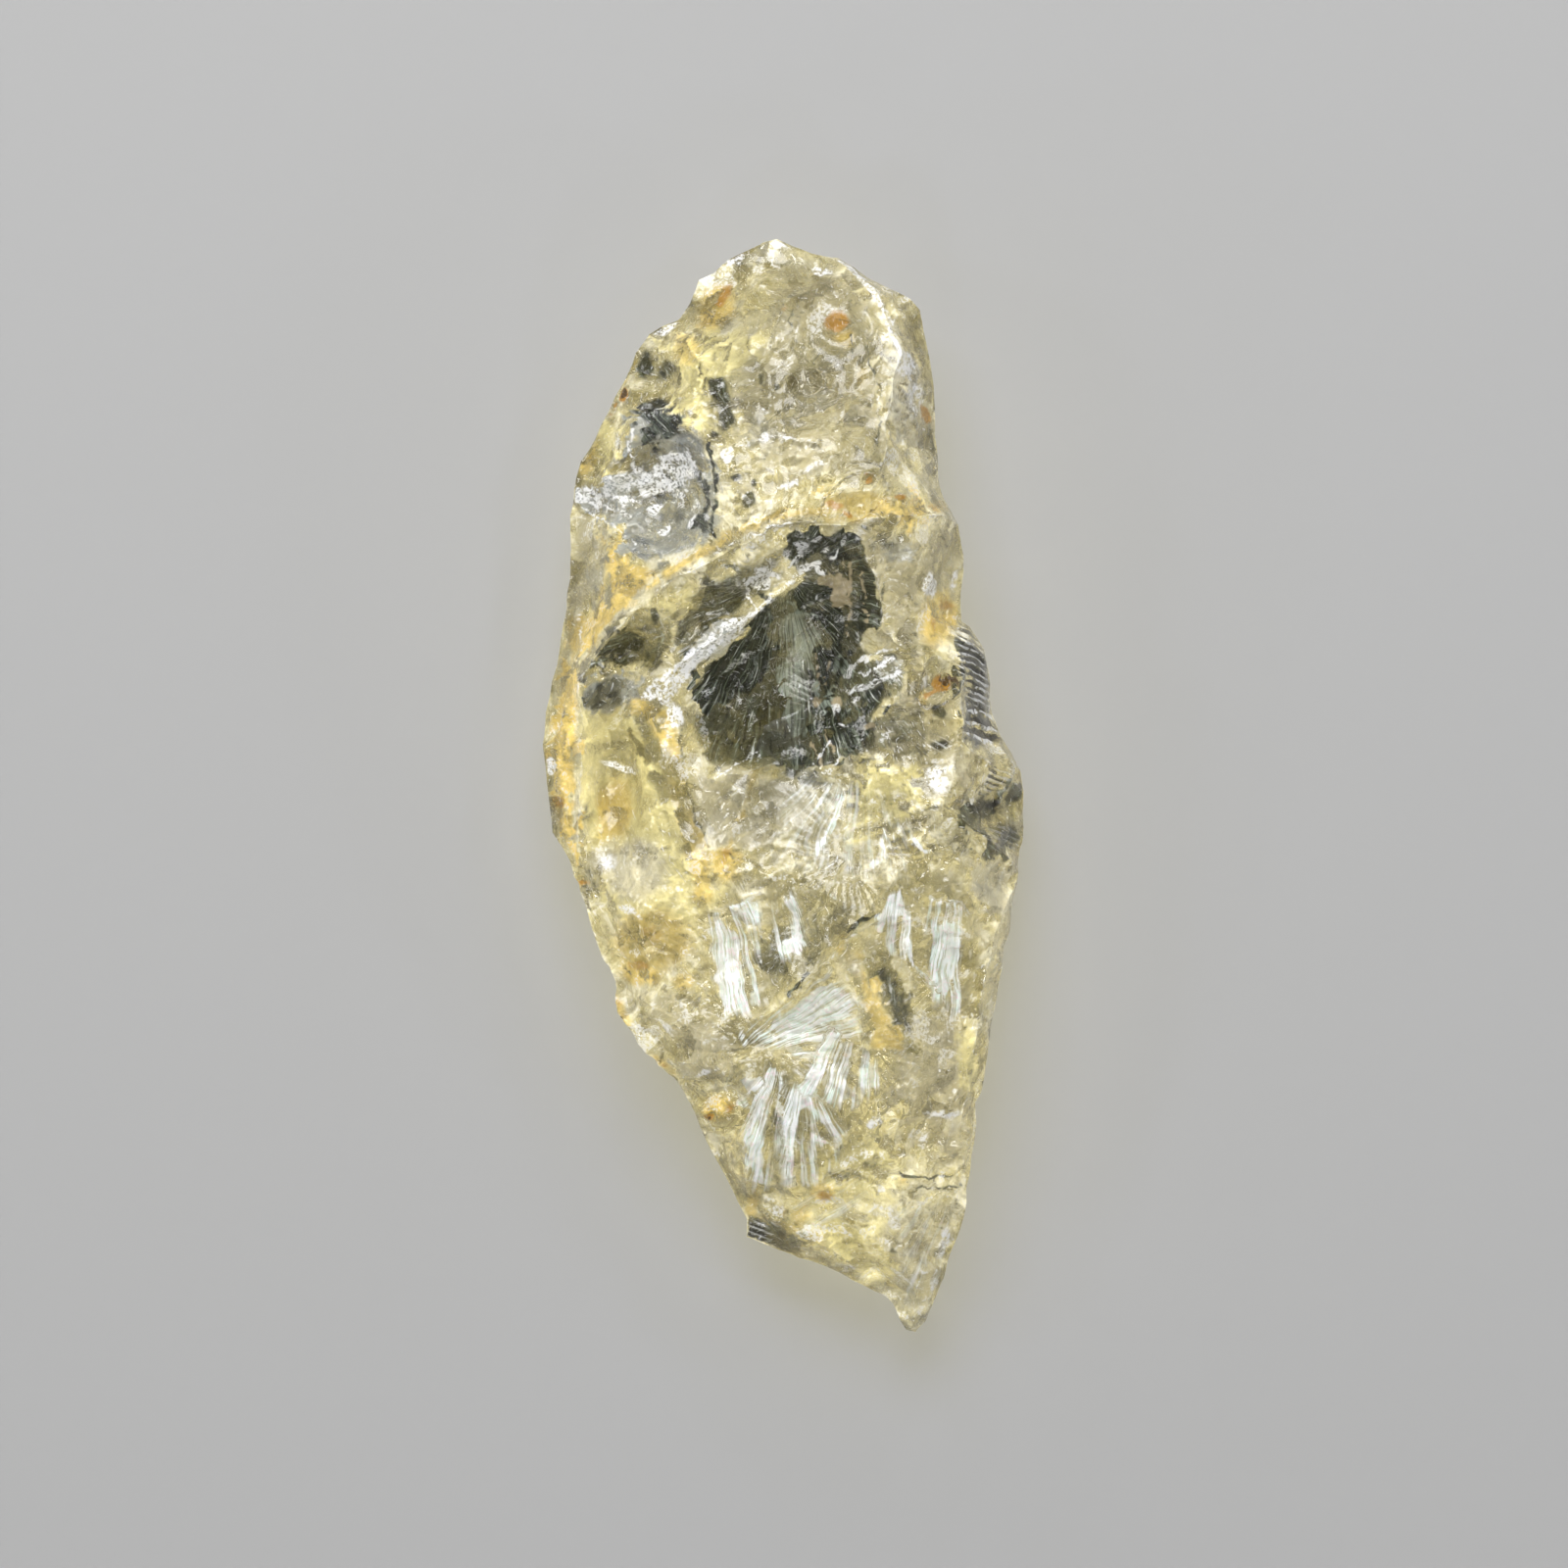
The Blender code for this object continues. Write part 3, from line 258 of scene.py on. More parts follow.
        area(0.95, 0.2, 12.6, -1.9, 14.2, -1.2, 15.4, -0.9, 15.5, -1.8, 14, -2.9, 12.8, -2.7),
        area(0.66, 0.3, 13.8, -3, 15.6, -3.2, 17.5, -3.6, 17.4, -5, 15.6, -5.2, 14.2, -4.4),
        area(0.8, 0.2, 13.3, 9.4, 14.3, 9.6, 15.2, 7.4, 15.2, 5.8, 13.5, 6.1),
        # painted shade in the pocket under the crest
        area(0.9, 0.3, -7, 11.6, -5.4, 14.6, -3.4, 15.6, -2.9, 14.6, -3.2, 13, -5.4, 11.2),
        area(0.56, 0.25, -14, 8.3, -13.2, 10.2, -12, 11.3, -9.8, 10.9, -8.2, 9.8, -9.2, 8.7, -11.4, 8.5),
        spot(0.9, -10.2, 30.4, 0.6, 1.1), spot(0.7, -8.6, 30.2, 0.8, 0.9),
        spot(0.8, -4.7, 28.2, 0.9, 1.6, 15), spot(0.8, -4.2, 26.6, 0.8, 1), spot(0.8, -5, 25.4, 0.5, 0.4),
        spot(0.8, -2.6, 20.5, 0.6, 0.7), spot(0.8, -3.4, 22.2, 0.5, 0.25),
        spot(0.7, -2.4, 21.6, 0.25, 0.4),
        # painted shade in the pocket under the crest
        area(0.95, 0.3, -6.4, 13.2, -5.7, 14.5, -4.3, 15.2, -3.2, 14.9, -3, 13.5, -4, 12.9, -5, 12,
            -5.8, 12.6),
        area(0.9, 0.4, -7, 4.9, -4, 5.2, -1, 4.8, 0.6, 3.4, -0.8, 2.8, -3.8, 3.2, -6.6, 3.4),
        area(0.95, 0.25, -13.8, 8.6, -13.1, 10.2, -12, 11, -10.8, 11, -10.6, 9.8, -11.6, 8.6),
        area(0.8, 0.3, 0.3, 12.3, 2.7, 12.3, 2.8, 9.4, 0.4, 9.2),
        area(0.56, 0.4, 4.8, 5, 10, 5.6, 10.4, 2.4, 6, 1.6, 4.8, 2.4),
        area(0.6, 0.4, 3.4, 8, 4.6, 9.6, 8.8, 9, 9.2, 6.4, 5.6, 5.2, 3.4, 5.6),
        area(0.6, 0.3, -14.8, 5.4, -14.6, 7.8, -11.6, 7.8, -11.4, 5.6),
        # painted shade across the pocket between the crest and the silver ridge
        area(0.62, 0.4, -7.4, 13.2, -5, 15.4, -1.4, 16.6, 0.6, 17, -0.4, 15, -3.4, 12.4, -6.4, 10.4,
            -7.8, 9.4),
        area(0.5, 0.3, 13, -0.8, 14.8, -0.4, 17.2, -0.2, 17.4, -4.6, 15.2, -4.4, 13.4, -2.6),
        area(0.55, 0.3, -3.2, -31, -0.4, -31.4, 2.6, -33.4, 0, -34.2, -3.2, -33.2),
        area(0.45, 0.8, -0.8, -20.4, 2.4, -20, 1.4, -29, -1.4, -28.6),
        area(0.5, 0.5, 2, -9.4, 6.6, -8.6, 5.2, -10.4, 1.8, -13.4, -1.8, -14.4, -1.6, -10.6),
        area(0.9, 0.2, 12.8, 11.3, 14.6, 10, 15.3, 5, 15, 3.6, 13.1, 4.4, 12.9, 7.4),
        spot(0.8, -9.4, 12.2, 0.35, 0.6), spot(0.8, 16.8, -0.6, 0.7, 0.8),
        spot(0.8, 14.2, -2.2, 1.2, 0.35, 28), spot(0.7, 13.2, -2.6, 0.8, 0.3, 20),
        spot(0.8, 14.6, -3.8, 0.25, 0.7, 30), spot(0.7, 16, -4.2, 0.8, 0.35, -20),
        spot(0.8, 11.2, 5.2, 0.45, 0.8), spot(0.7, 11.2, 2.9, 0.9, 0.45),
        spot(0.8, 13.8, 3.2, 0.8, 0.25, -25), spot(0.6, 10.6, -1.9, 0.9, 0.25, 20),
        spot(0.5, 7.6, 17.2, 1, 0.4, -20), spot(0.5, 9.4, 16.6, 0.5, 0.3), spot(0.7, -2, -33, 1, 0.9),
        line(0.8, 0.18, 8.4, -28.2, 10.2, -28.5, 12.4, -28.5),
        line(0.7, 0.18, 9.4, -29.3, 11.4, -29.4, 13, -29.2), spot(0.5, 8, -34, 0.5, 0.3),
        # the line from -7.7, 3.4 to -5.4, -4.8 is painted shade along the unlit side of the golden ridge
        spot(0.5, 13, -33.6, 0.3, 0.8), line(0.56, 0.16, -7.7, 3.4, -7.1, 0.4, -6.4, -2.4, -5.4, -4.8),
        line(0.7, 0.14, 0.6, 34.4, 0.7, 33), line(0.7, 0.14, 2.6, 31.8, 2.1, 30.4),
        line(0.7, 0.12, 4.9, 32.4, 5, 30.8), spot(0.6, -1.6, 29.2, 0.3, 0.5),
        spot(0.6, -0.6, 28.8, 0.25, 0.4), line(0.6, 0.14, 6, 31.4, 7, 28, 6.8, 24.6),
        line(0.6, 0.16, 10.4, 35.2, 8.6, 36, 6.4, 37.1), spot(0.6, 10.8, 25, 0.35, 1),
        spot(0.5, 10.2, 28.6, 0.25, 1), spot(0.6, 14.6, 17.4, 0.5, 0.4),
        line(0.6, 0.14, 7, 11.6, 7.2, 14.4),
    ]},
    # Near black: the stone's own dark glass in the hollow, and painted darkness where the clear stone
    # would reflect its dark surroundings
    "deep": {"colour": (0.006, 0.009, 0.006), "cover": 0.75, "soak": 1.0, "flaky": 0.8,
             "tear": 0.6, "soft": 0.25, "shapes": [
        area(1, 0.22, -0.4, 13.2, -2.3, 12.3, -4, 10.4, -5.4, 8.8, -6.8, 6.8, -7, 5.9, -5, 5.6, -2.6, 6,
            -1.3, 7, -0.9, 9.4, -0.6, 11.4),
        area(1, 0.25, 0.2, 13.8, 1.3, 14.8, 2.5, 15.1, 3.3, 15, 3.1, 13.6, 2.7, 12.6, 1.4, 12.2,
            0.5, 12.8),
        # painted shade: the black under the lip of the crest
        area(1, 0.2, 0.3, 17.7, 2, 18, 3.4, 18.5, 4.9, 18.7, 5.5, 18, 5.2, 17, 4.6, 16.5, 3.7, 16.2,
            2.9, 16.7, 2.2, 16.1, 1.2, 15.9, 0.5, 16.3, -0.2, 17),
        area(1, 0.2, 2.7, 12.5, 3.6, 12.8, 4.5, 12.6, 4.7, 11.2, 4.4, 9.9, 2.8, 9.7),
        area(0.62, 0.25, 5, 17, 5.7, 16.9, 6.3, 15, 7, 13, 6.9, 11.2, 5.9, 9.6, 5, 9.8, 5.2, 12,
            5.3, 14.4),
        area(0.9, 0.22, 2.3, 9.8, 4.3, 9.8, 4.3, 8.6, 3.5, 8, 3.3, 6.8, 4.4, 5.9, 3.6, 5.4, 2.5, 5.9,
            2.3, 7.8),
        area(1, 0.2, 2.1, 4.8, 3.4, 5.2, 5, 5.3, 6.1, 6.6, 7.8, 7, 7.1, 6, 5.5, 4.8, 5.7, 3.4, 5.3, 2.1,
            4.4, 1.9, 3.3, 3.1, 2.5, 3.4),
        area(0.9, 0.2, 0, 2.8, 1.4, 2.6, 1.7, 1.6, 1, 1.2, 0, 1.6),
        area(0.8, 0.3, -2.9, 14.5, -2.4, 13.6, -1.2, 13.8, -0.6, 14.6, -1.2, 14.4, -2.2, 14.6),
        area(0.8, 0.35, -10.9, 27.3, -9.6, 27.5, -8.4, 26.9, -7.5, 26, -7.7, 25.3, -8.9, 24.9, -9.7, 24.3,
            -10.4, 24.2, -10.3, 25.6, -11.1, 26.6),
        # painted shade down the scoop's right wall: these two lines and the spot at -5.8, 18.8
        line(0.85, 0.22, -5.5, 24.6, -4.9, 22.6, -4.9, 20.4, -5.1, 18),
        line(0.8, 0.25, -6.6, 23, -5.6, 21.6, -5.5, 20, -6.6, 18.6),
        line(0.8, 0.2, -9, 22.6, -8, 22, -7.6, 21.6), spot(0.7, -5.8, 18.8, 0.6, 0.9, 20),
        spot(0.7, -9.2, 20.9, 0.7, 0.25, 20), spot(0.5, -7.6, 19.6, 1, 0.5, 40),
        line(1, 0.16, 7, -9.4, 5.6, -9.9, 4.6, -10.6),
        line(0.95, 0.16, 1.8, -13.7, 0.9, -14.6, 0.2, -15.2), spot(0.9, 15.2, -1.4, 0.6, 0.25, 40),
        spot(0.8, -7, 9.6, 0.5, 0.3, 40), line(0.7, 0.14, -6.8, 7.9, -5.6, 9, -5, 10),
        spot(0.6, -13.4, 6.9, 0.3, 0.6),
    ]},
    "panel": {"colour": (0.42, 0.5, 0.44), "cover": 0.6, "tear": 0.9, "soft": 0.3, "shapes": [
        area(1, 0.3, 0.1, 9, 1.6, 9.2, 2.2, 8.2, 2.1, 6.6, 1.9, 4.6, 1.3, 3.6, 0.3, 4, -0.3, 5.6,
            -0.2, 7.6),
        area(0.56, 0.35, 0.5, 12.6, 2.1, 12.6, 2.3, 9.2, 1, 8.6, 0.2, 9.4),
        area(0.8, 0.2, 3.4, 8.8, 4.4, 9.4, 5, 8.6, 3.9, 7.2),
        area(0.8, 0.2, 2.9, 6.6, 3.6, 7.2, 4.2, 6.2, 3.4, 5.6), spot(0.6, 1.3, 11.6, 0.6, 0.5),
        line(0.6, 0.16, 0.3, 13.4, 1, 12.4, 2.6, 12.2), line(0.45, 0.2, -0.9, 12.4, -1.6, 9.8, -2.6, 7.6),
        line(0.45, 0.16, 0.1, 12.4, 0.2, 9.2), line(0.4, 0.14, -2.2, 11.2, -3.8, 8.6, -5.6, 6.6),
        spot(0.45, -2.4, 5.8, 0.8, 0.5), line(0.4, 0.12, -1, 8.6, -1.4, 6.2),
        spot(0.35, -4.6, 5.8, 0.8, 0.4), line(0.5, 0.14, -8.4, 12.2, -8.1, 10.4, -7.6, 9.4),
        line(0.5, 0.12, -9, 11.9, -8.8, 10),
    ]},
    "buff": {"colour": (0.6, 0.5, 0.33), "cover": 0.6, "tear": 0.8, "soft": 0.3, "shapes": [
        area(0.9, 0.2, 3.3, 15.3, 4.5, 15.6, 4.6, 12.8, 3.5, 12.6, 3, 13.2),
        spot(0.9, 3.8, 5.9, 0.5, 0.5), spot(0.9, 2.4, 6.1, 0.35, 0.4),
        line(0.8, 0.12, 4.8, 16, 4.7, 14.2, 4.9, 12.4, 4.6, 10.8),
        line(0.7, 0.1, 5.5, 15.4, 5.9, 13.4, 5.9, 11.6), line(0.7, 0.1, 2.4, 9.6, 2.4, 7.2),
        line(0.7, 0.1, 3.2, 9, 3, 7), spot(0.6, 6.2, 4.2, 0.5, 0.4), line(0.7, 0.12, 3, 4, 3.6, 2.2),
        line(0.7, 0.12, 1.9, 3.2, 2.8, 1),
    ]},
    "frostAndGlint": {"colour": (0.93, 0.94, 0.96), "cover": 0.85, "tear": 1.2, "soft": 0.25, "shapes": [
        spot(0.9, 1.2, 17.2, 0.5, 0.3, 40), spot(0.9, 2.9, 16.9, 0.5, 0.25, 50),
        line(0.9, 0.22, 0.4, 15.8, 1.5, 16.9, 2.4, 17.8), line(0.8, 0.18, 3.6, 16.2, 4.4, 17.6),
        area(0.6, 0.5, -15.2, 22, -12.4, 22.2, -10.8, 21, -11.8, 19.8, -15.2, 20.4),
        spot(0.7, 4.2, 17.4, 0.3, 0.3), spot(0.7, 0.2, 16.6, 0.5, 0.3), spot(0.7, 5.2, 6.2, 0.6, 0.2, 30),
        spot(0.7, 4.4, 4.4, 0.5, 0.2, -20),
        line(1, 0.7, -8.6, 6.4, -7.8, 7.8, -6.6, 9.2, -4.8, 10.3, -3.4, 11.4),
        spot(0.8, -9.6, 6.6, 1, 0.5, 20), spot(0.9, -8, 5.2, 0.7, 0.9, 30),
        area(0.7, 0.4, -11.4, 26.6, -12.2, 24, -10.6, 22.4, -8.6, 24, -6.2, 24.4, -5.6, 22.6, -7.2, 20.8,
            -10.4, 20.8, -11.8, 22, -11.6, 24),
        line(0.95, 0.26, -3.6, 11.2, -2, 12.5, -0.4, 13.8, 0.4, 14.8, 1.4, 15.6, 2.4, 15.8, 2.9, 15.1),
        area(1, 0.25, -2.8, 15, -2, 16.2, -0.8, 16, -0.5, 15, -1.4, 14.6),
        spot(0.9, -7.8, 4.8, 0.7, 0.8, 30), spot(0.8, -9.2, 7, 0.9, 0.7),
        spot(0.7, -2, 17.3, 0.9, 0.35, 25), line(0.7, 0.14, -5.6, 16.2, -2.6, 17.9, 0.6, 18.8),
        line(0.6, 0.12, -7, 15.2, -3.6, 16.6, -0.8, 17.9),
        line(0.9, 0.24, 4.2, 38.2, 5.4, 37, 6.6, 35.6, 7.4, 34, 8.2, 32.2, 8.6, 31.2),
        spot(0.7, 8.9, 30.4, 0.9, 1.2), spot(0.6, 9.4, 28, 0.8, 1.6), spot(0.9, -3.3, 38.5, 1.6, 0.4, 38),
        spot(0.7, -0.8, 39.4, 1.2, 0.3, -10), spot(0.9, 2.7, 37.4, 0.7, 0.35),
        spot(0.9, -8.6, 33.2, 1.2, 0.4, 25), spot(0.9, -4, 23.8, 0.45, 0.9),
        spot(0.8, -1.3, 25, 0.6, 0.5), line(0.7, 0.14, -0.6, 24.95, 0.8, 24.8, 2, 25),
        spot(0.7, 2.2, 22.9, 1.7, 0.35, 25), spot(0.7, 0.4, 21.6, 1.4, 0.3, 25),
        spot(1, -8, 23.6, 1.4, 0.5, -10), spot(0.9, -7, 22.6, 0.7, 0.6, 30),
        spot(0.8, -9.4, 20, 0.9, 0.4, 30), spot(0.8, -6.6, 19, 0.8, 0.25, 50),
        spot(0.8, -10, 21.6, 0.9, 0.25, -10), spot(0.7, -8.6, 18.4, 0.8, 0.3, 20),
        line(0.8, 0.16, -15.3, 21.6, -12.8, 21, -10.8, 20.6),
        line(0.7, 0.16, -15.2, 20.6, -12.6, 20.2, -11.2, 19.4),
        line(0.7, 0.14, -14.4, 19.9, -12.4, 18.9, -10.8, 17.4),
        line(0.7, 0.16, -11, 25.8, -11.2, 24.2, -10.6, 22.8), line(0.9, 0.26, 4.4, 7.9, 5.2, 8.8, 6, 9.2),
        line(0.9, 0.24, 4.8, 6.7, 6.6, 7.3, 8.4, 8.2), line(0.8, 0.16, 5.4, 7.9, 6.8, 8.3, 7.8, 8.9),
        spot(0.7, 3.6, 5.4, 0.4, 0.5), spot(0.8, -12, 1.2, 1.6, 0.35, -15),
        # the spot at -13.1, -5.8 is a painted highlight on the pale patch
        spot(0.9, -17.1, 1.3, 0.4, 0.5), spot(0.6, -13.1, -5.8, 1.1, 0.8, 30),
        spot(0.4, -10.2, -5.2, 1, 0.6, 20), spot(0.7, -11.4, -9.2, 1.4, 0.3, -30),
        spot(0.8, 10.6, 14.4, 0.5, 1), spot(0.8, 12.5, 14.8, 0.35, 0.9), spot(0.7, 11.2, 0.4, 1.1, 1.2),
        spot(0.8, 11.7, -33.4, 0.45, 1.3, -15), spot(0.7, 11, -36.6, 0.3, 0.9, -15),
        spot(0.7, 9.6, -4.4, 0.7, 0.25, -30), spot(0.7, 6.6, -24.6, 0.7, 0.5),
        spot(0.6, 11.4, -24, 1.8, 0.4), spot(0.6, 10.2, -25.8, 0.5, 0.8),
        spot(0.6, -8.6, -17.6, 1.2, 0.5, -40), spot(0.6, -6, -21, 0.7, 0.3, 20),
        spot(0.6, 7, -29.2, 0.6, 0.3), spot(0.6, 8, -31.8, 0.7, 0.5), spot(0.6, -0.4, -31, 0.7, 0.4),
        spot(0.6, 4.6, -35.4, 0.8, 0.5, -30), line(0.7, 0.14, -15, 12.4, -14.6, 10.2),
        line(0.6, 0.16, 9.9, -38.6, 11, -35.4), line(0.7, 0.12, -4.9, 0.4, -2, 2.4),
        line(0.6, 0.1, -2.4, 0.8, -1.8, 2.2), line(0.7, 0.12, 2, 1.4, 3.4, 3),
        line(0.7, 0.12, 2.6, 0.6, 4.2, 1.9), line(0.8, 0.16, -2.8, 14.9, -2.6, 13.6, -2.2, 12.8),
        spot(0.8, -2.9, 9.4, 0.22, 0.18), line(0.7, 0.14, 9.4, 10.4, 7.4, 9.6, 6.4, 9.4),
        line(0.6, 0.12, 14.2, 0.4, 15.8, 3),
    ]},
    "rust": {"colour": (0.38, 0.18, 0.015), "cover": 0.8, "tear": 1.1, "soft": 0.35, "shapes": [
        spot(1, 3.9, 33.5, 0.9, 0.8), spot(0.8, -4.4, 35.6, 0.4, 1.1, -30),
        spot(1, 10.3, 26.9, 0.45, 0.8, 25), spot(1, -11.8, 28.4, 0.35, 0.5),
        line(0.9, 0.16, -11.9, 28.2, -12.6, 27.2, -13.5, 26.4), spot(0.9, 3.5, 20.1, 0.7, 0.3, -25),
        spot(0.9, 4.6, 19.3, 0.6, 0.25, -20), spot(0.8, 8.3, 20.8, 0.35, 0.4, -40),
        spot(0.7, 6.1, 22, 0.35, 0.4), spot(0.6, 9.6, 20.4, 0.3, 0.15), spot(0.6, 10.8, 20, 0.5, 0.3),
        spot(1, 11.4, 7.2, 0.75, 0.75), line(0.8, 0.22, 11, 6.9, 10.3, 6.4),
        spot(1, -5.5, -24.2, 0.45, 0.35), spot(0.8, -3.9, -23.6, 0.4, 0.3),
        spot(0.8, -14.8, -7.2, 0.8, 0.3), spot(0.6, 11.9, 13, 0.7, 0.4), spot(0.6, 10.9, 11.6, 0.3, 0.8),
        spot(0.6, -16.4, -1.4, 0.5, 0.6), spot(0.6, -4.2, -5.2, 0.4, 0.8),
        spot(0.6, -10.7, -13.2, 0.8, 0.5), spot(0.5, 4.4, -19.5, 0.3, 0.3),
        spot(0.6, -8.8, -20.7, 0.5, 0.25), spot(0.6, 3, -29.9, 0.7, 0.5), spot(0.5, -14, -14.6, 0.3, 0.4),
        spot(0.4, -9.6, -11, 0.9, 0.9), spot(0.5, 0.2, 34.6, 0.3, 0.4), spot(0.4, -12.2, -16, 0.4, 0.8),
    ]},
    # Painted shade inside the round pit at 11.6, 7.6, and the dark cores of the rust stains
    "stainCoreAndPitShade": {"colour": (0.045, 0.018, 0.006), "cover": 0.9, "tear": 0.8, "soft": 0.25, "shapes": [
        area(1, 0.15, 10.8, 7.5, 11.2, 7.95, 11.8, 8, 12.1, 7.6, 11.9, 7.1, 11.3, 7.2),
        spot(1, 11.6, 7.6, 0.42, 0.34), spot(0.9, -11.8, 28.5, 0.25, 0.35),
        spot(0.9, -5.5, -24.3, 0.2, 0.15), line(0.8, 0.1, -12.4, 27.3, -13.4, 26.5),
        spot(0.7, 10.1, 27.4, 0.12, 0.3), spot(0.6, 4.6, 19.5, 0.12, 0.3),
        spot(0.6, -8.6, -20.8, 0.2, 0.15),
    ]},
}

# Silky veils inside the stone. root: where their strands meet, reach: how far off it the strands
# are as wide as set
veils = {
    "left oval": {"root": (-7.4, 8.0), "reach": 21.0, "shapes": [
        area(1, 0.3, -5.4, -10.5, -4.4, -9.8, -3.5, -10.8, -3.1, -12, -3, -13.8, -3.5, -16.4, -4.4, -16.4,
            -5.1, -14.3),
        area(0.85, 0.25, -2.8, -8.4, -2, -8.5, -1.9, -10.2, -2.5, -10.2),
        line(0.7, 0.2, -4.9, -9.6, -3.8, -8.9, -2.6, -8.4), spot(0.85, -2.2, -15.5, 0.7, 1.1),
        area(0.52, 0.6, -5.6, -9.6, -1.8, -8.2, -1.4, -12, -1.6, -16.8, -4.8, -17),
    ]},
    "short oval": {"root": (-2.6, 2.0), "reach": 12.0, "shapes": [
        line(1, 0.42, 0.4, -8.4, 0.9, -9.8, 1.3, -11.4),
        area(1, 0.25, -0.4, -11, 1.3, -11.2, 1.1, -12.4, 0.2, -12.5, -0.4, -12.2),
        area(0.52, 0.5, -0.8, -8.4, 1, -7.4, 2, -11.6, 0.2, -13.2, -0.8, -12.4),
    ]},
    "arch": {"root": (8.5, -3.2), "reach": 7.0, "shapes": [
        area(1, 0.25, 6.6, -10.6, 6.8, -9.4, 7.4, -8.6, 8.2, -7.7, 8.8, -8.4, 9, -9.6, 8.2, -9.6,
            7.6, -9.8, 7.2, -10.8),
        line(1, 0.32, 8.7, -9.2, 8.9, -10.8, 9, -12.4), line(0.9, 0.2, 9, -12.8, 10, -13.6, 11.2, -14.9),
        area(0.5, 0.5, 6.4, -11.6, 7.2, -8.4, 8.6, -7.2, 9.6, -10, 9.6, -13, 7.8, -12.4),
    ]},
    "right oval": {"root": (12.6, 3.0), "reach": 15.0, "shapes": [
        area(1, 0.25, 10.4, -9.3, 11.4, -9.9, 12.6, -9.9, 12.9, -12, 12.4, -14, 11.8, -15.4, 10.8, -14.8,
            10.4, -12),
        line(0.85, 0.24, 12.4, -14, 12.5, -15.6, 12.3, -17.2),
        line(0.7, 0.22, 10.4, -8.2, 11.2, -8.6, 12.4, -8.8, 13.2, -9.6),
        area(0.5, 0.5, 9.8, -8.4, 13.4, -9, 13.4, -14, 12.6, -17.4, 10.6, -15.6),
    ]},
    "fan": {"root": (-4.4, -20.2), "reach": 7.0, "shapes": [
        area(1, 0.3, -1.2, -17.3, -0.1, -16.5, 1.9, -14.9, 3.5, -14.3, 4.6, -15.1, 5.2, -16.7, 3.9, -17.1,
            2.6, -17.6, 1.9, -18.6, -0.1, -18.5),
        area(0.8, 0.3, -2.4, -17.7, -0.8, -18, 1.8, -18.9, 1.7, -19.8, 0, -19.6, -1.8, -18.6),
        spot(0.7, -2.9, -18.4, 0.3, 0.8), spot(0.6, 5, -17.6, 0.6, 0.8, 30),
        area(0.5, 0.6, -2.6, -17.4, 3.4, -13, 5.4, -15, 5.6, -18.4, 1.6, -20.2, -2.6, -19),
    ]},
    "band": {"root": (6.6, -12.4), "reach": 8.0, "shapes": [
        line(1, 0.72, 3.5, -18.2, 2.9, -19.6, 2.2, -21.2, 1.7, -22.2),
        area(0.8, 0.25, 2.9, -20.6, 4, -20, 4.4, -21.4, 5.4, -21.8, 5.2, -23, 3.4, -23.4, 2.7, -22.2),
        area(0.85, 0.25, 5.1, -21.8, 5.8, -19.9, 6.5, -20.2, 6.9, -22, 5.9, -21.8),
        area(0.48, 0.6, 2.2, -18.4, 4.6, -18.2, 7, -19.8, 7, -22.6, 4.8, -24, 1.6, -22.8),
    ]},
    "feathers": {"root": (1.3, -20.2), "reach": 4.4, "shapes": [
        area(1, 0.3, 0.6, -22.2, 1.5, -22.2, 2.4, -23.4, 3.5, -24.8, 2.6, -24.7, 1.5, -23.6, 1.1, -24,
            0.7, -26, 0.1, -25.8, 0, -23.8),
        area(0.9, 0.2, 1.6, -25, 2.6, -25.4, 3.8, -26.3, 2.6, -26.2),
        area(0.5, 0.6, -0.4, -22, 2.4, -21.8, 4.6, -25.2, 4.2, -27.2, 2.4, -29.4, -0.4, -29.4),
    ]},
    "plume": {"root": (0.4, -17.6), "reach": 8.0, "shapes": [
        line(1, 0.42, -0.9, -20.8, -1.5, -22.2, -2.1, -23.6, -2.5, -25.2),
        area(1, 0.3, -3, -24, -1.9, -24.4, -1.5, -26.6, -1.3, -29.2, -2.2, -29, -2.7, -27.2),
        line(0.8, 0.2, -0.6, -20.6, -0.2, -21.6),
        area(0.5, 0.6, -0.8, -20.2, 0.2, -21.6, -0.6, -29.6, -2.6, -29.8, -3.4, -24.6),
    ]},
    "left tuft": {"root": (-5.6, -25.4), "reach": 4.6, "shapes": [
        area(0.9, 0.25, -3.4, -21.3, -1.6, -21, -1.7, -22.2, -2.8, -22.4), spot(0.9, -3, -23.2, 0.6, 0.3),
        spot(0.5, -3.4, -22.2, 1.2, 1.4),
    ]},
    "middle blades": {"root": (5.6, 3.4), "reach": 6.0, "shapes": [
        line(1, 0.3, 4.2, -0.8, 3.8, -2.2, 3.3, -3.4), line(0.9, 0.26, 3.2, -3.8, 2.3, -5),
        line(0.9, 0.3, 7.3, -3.5, 6.9, -5, 6.5, -5.8), line(0.7, 0.18, 9.2, -3.9, 10.5, -5),
        spot(0.6, 2.1, -1.2, 0.9, 0.6), line(0.6, 0.16, 10.6, -8.1, 12.8, -8.6, 13.6, -9.4),
        area(0.34, 0.8, 0, 0.4, 6, 0.4, 9.6, -3.4, 9, -7.4, 2, -7.6, -1, -4.4),
        line(0.5, 0.16, 3.2, -7.9, 4.6, -9.4), spot(0.6, -2.4, -8.4, 0.5, 0.4),
    ]},
    "toe": {"root": (14.0, -24.0), "reach": 11.0, "shapes": [
        area(0.34, 0.8, 7.6, -30.4, 12.4, -30.6, 11.6, -36.4, 9, -39),
        area(0.32, 0.8, 1, -26.6, 6, -27, 6, -33, 0.4, -33.4),
    ]},
}
# The fine streaks of the dark hollow
hollowStrands = {"root": (0.0, 15.2), "reach": 8.0}

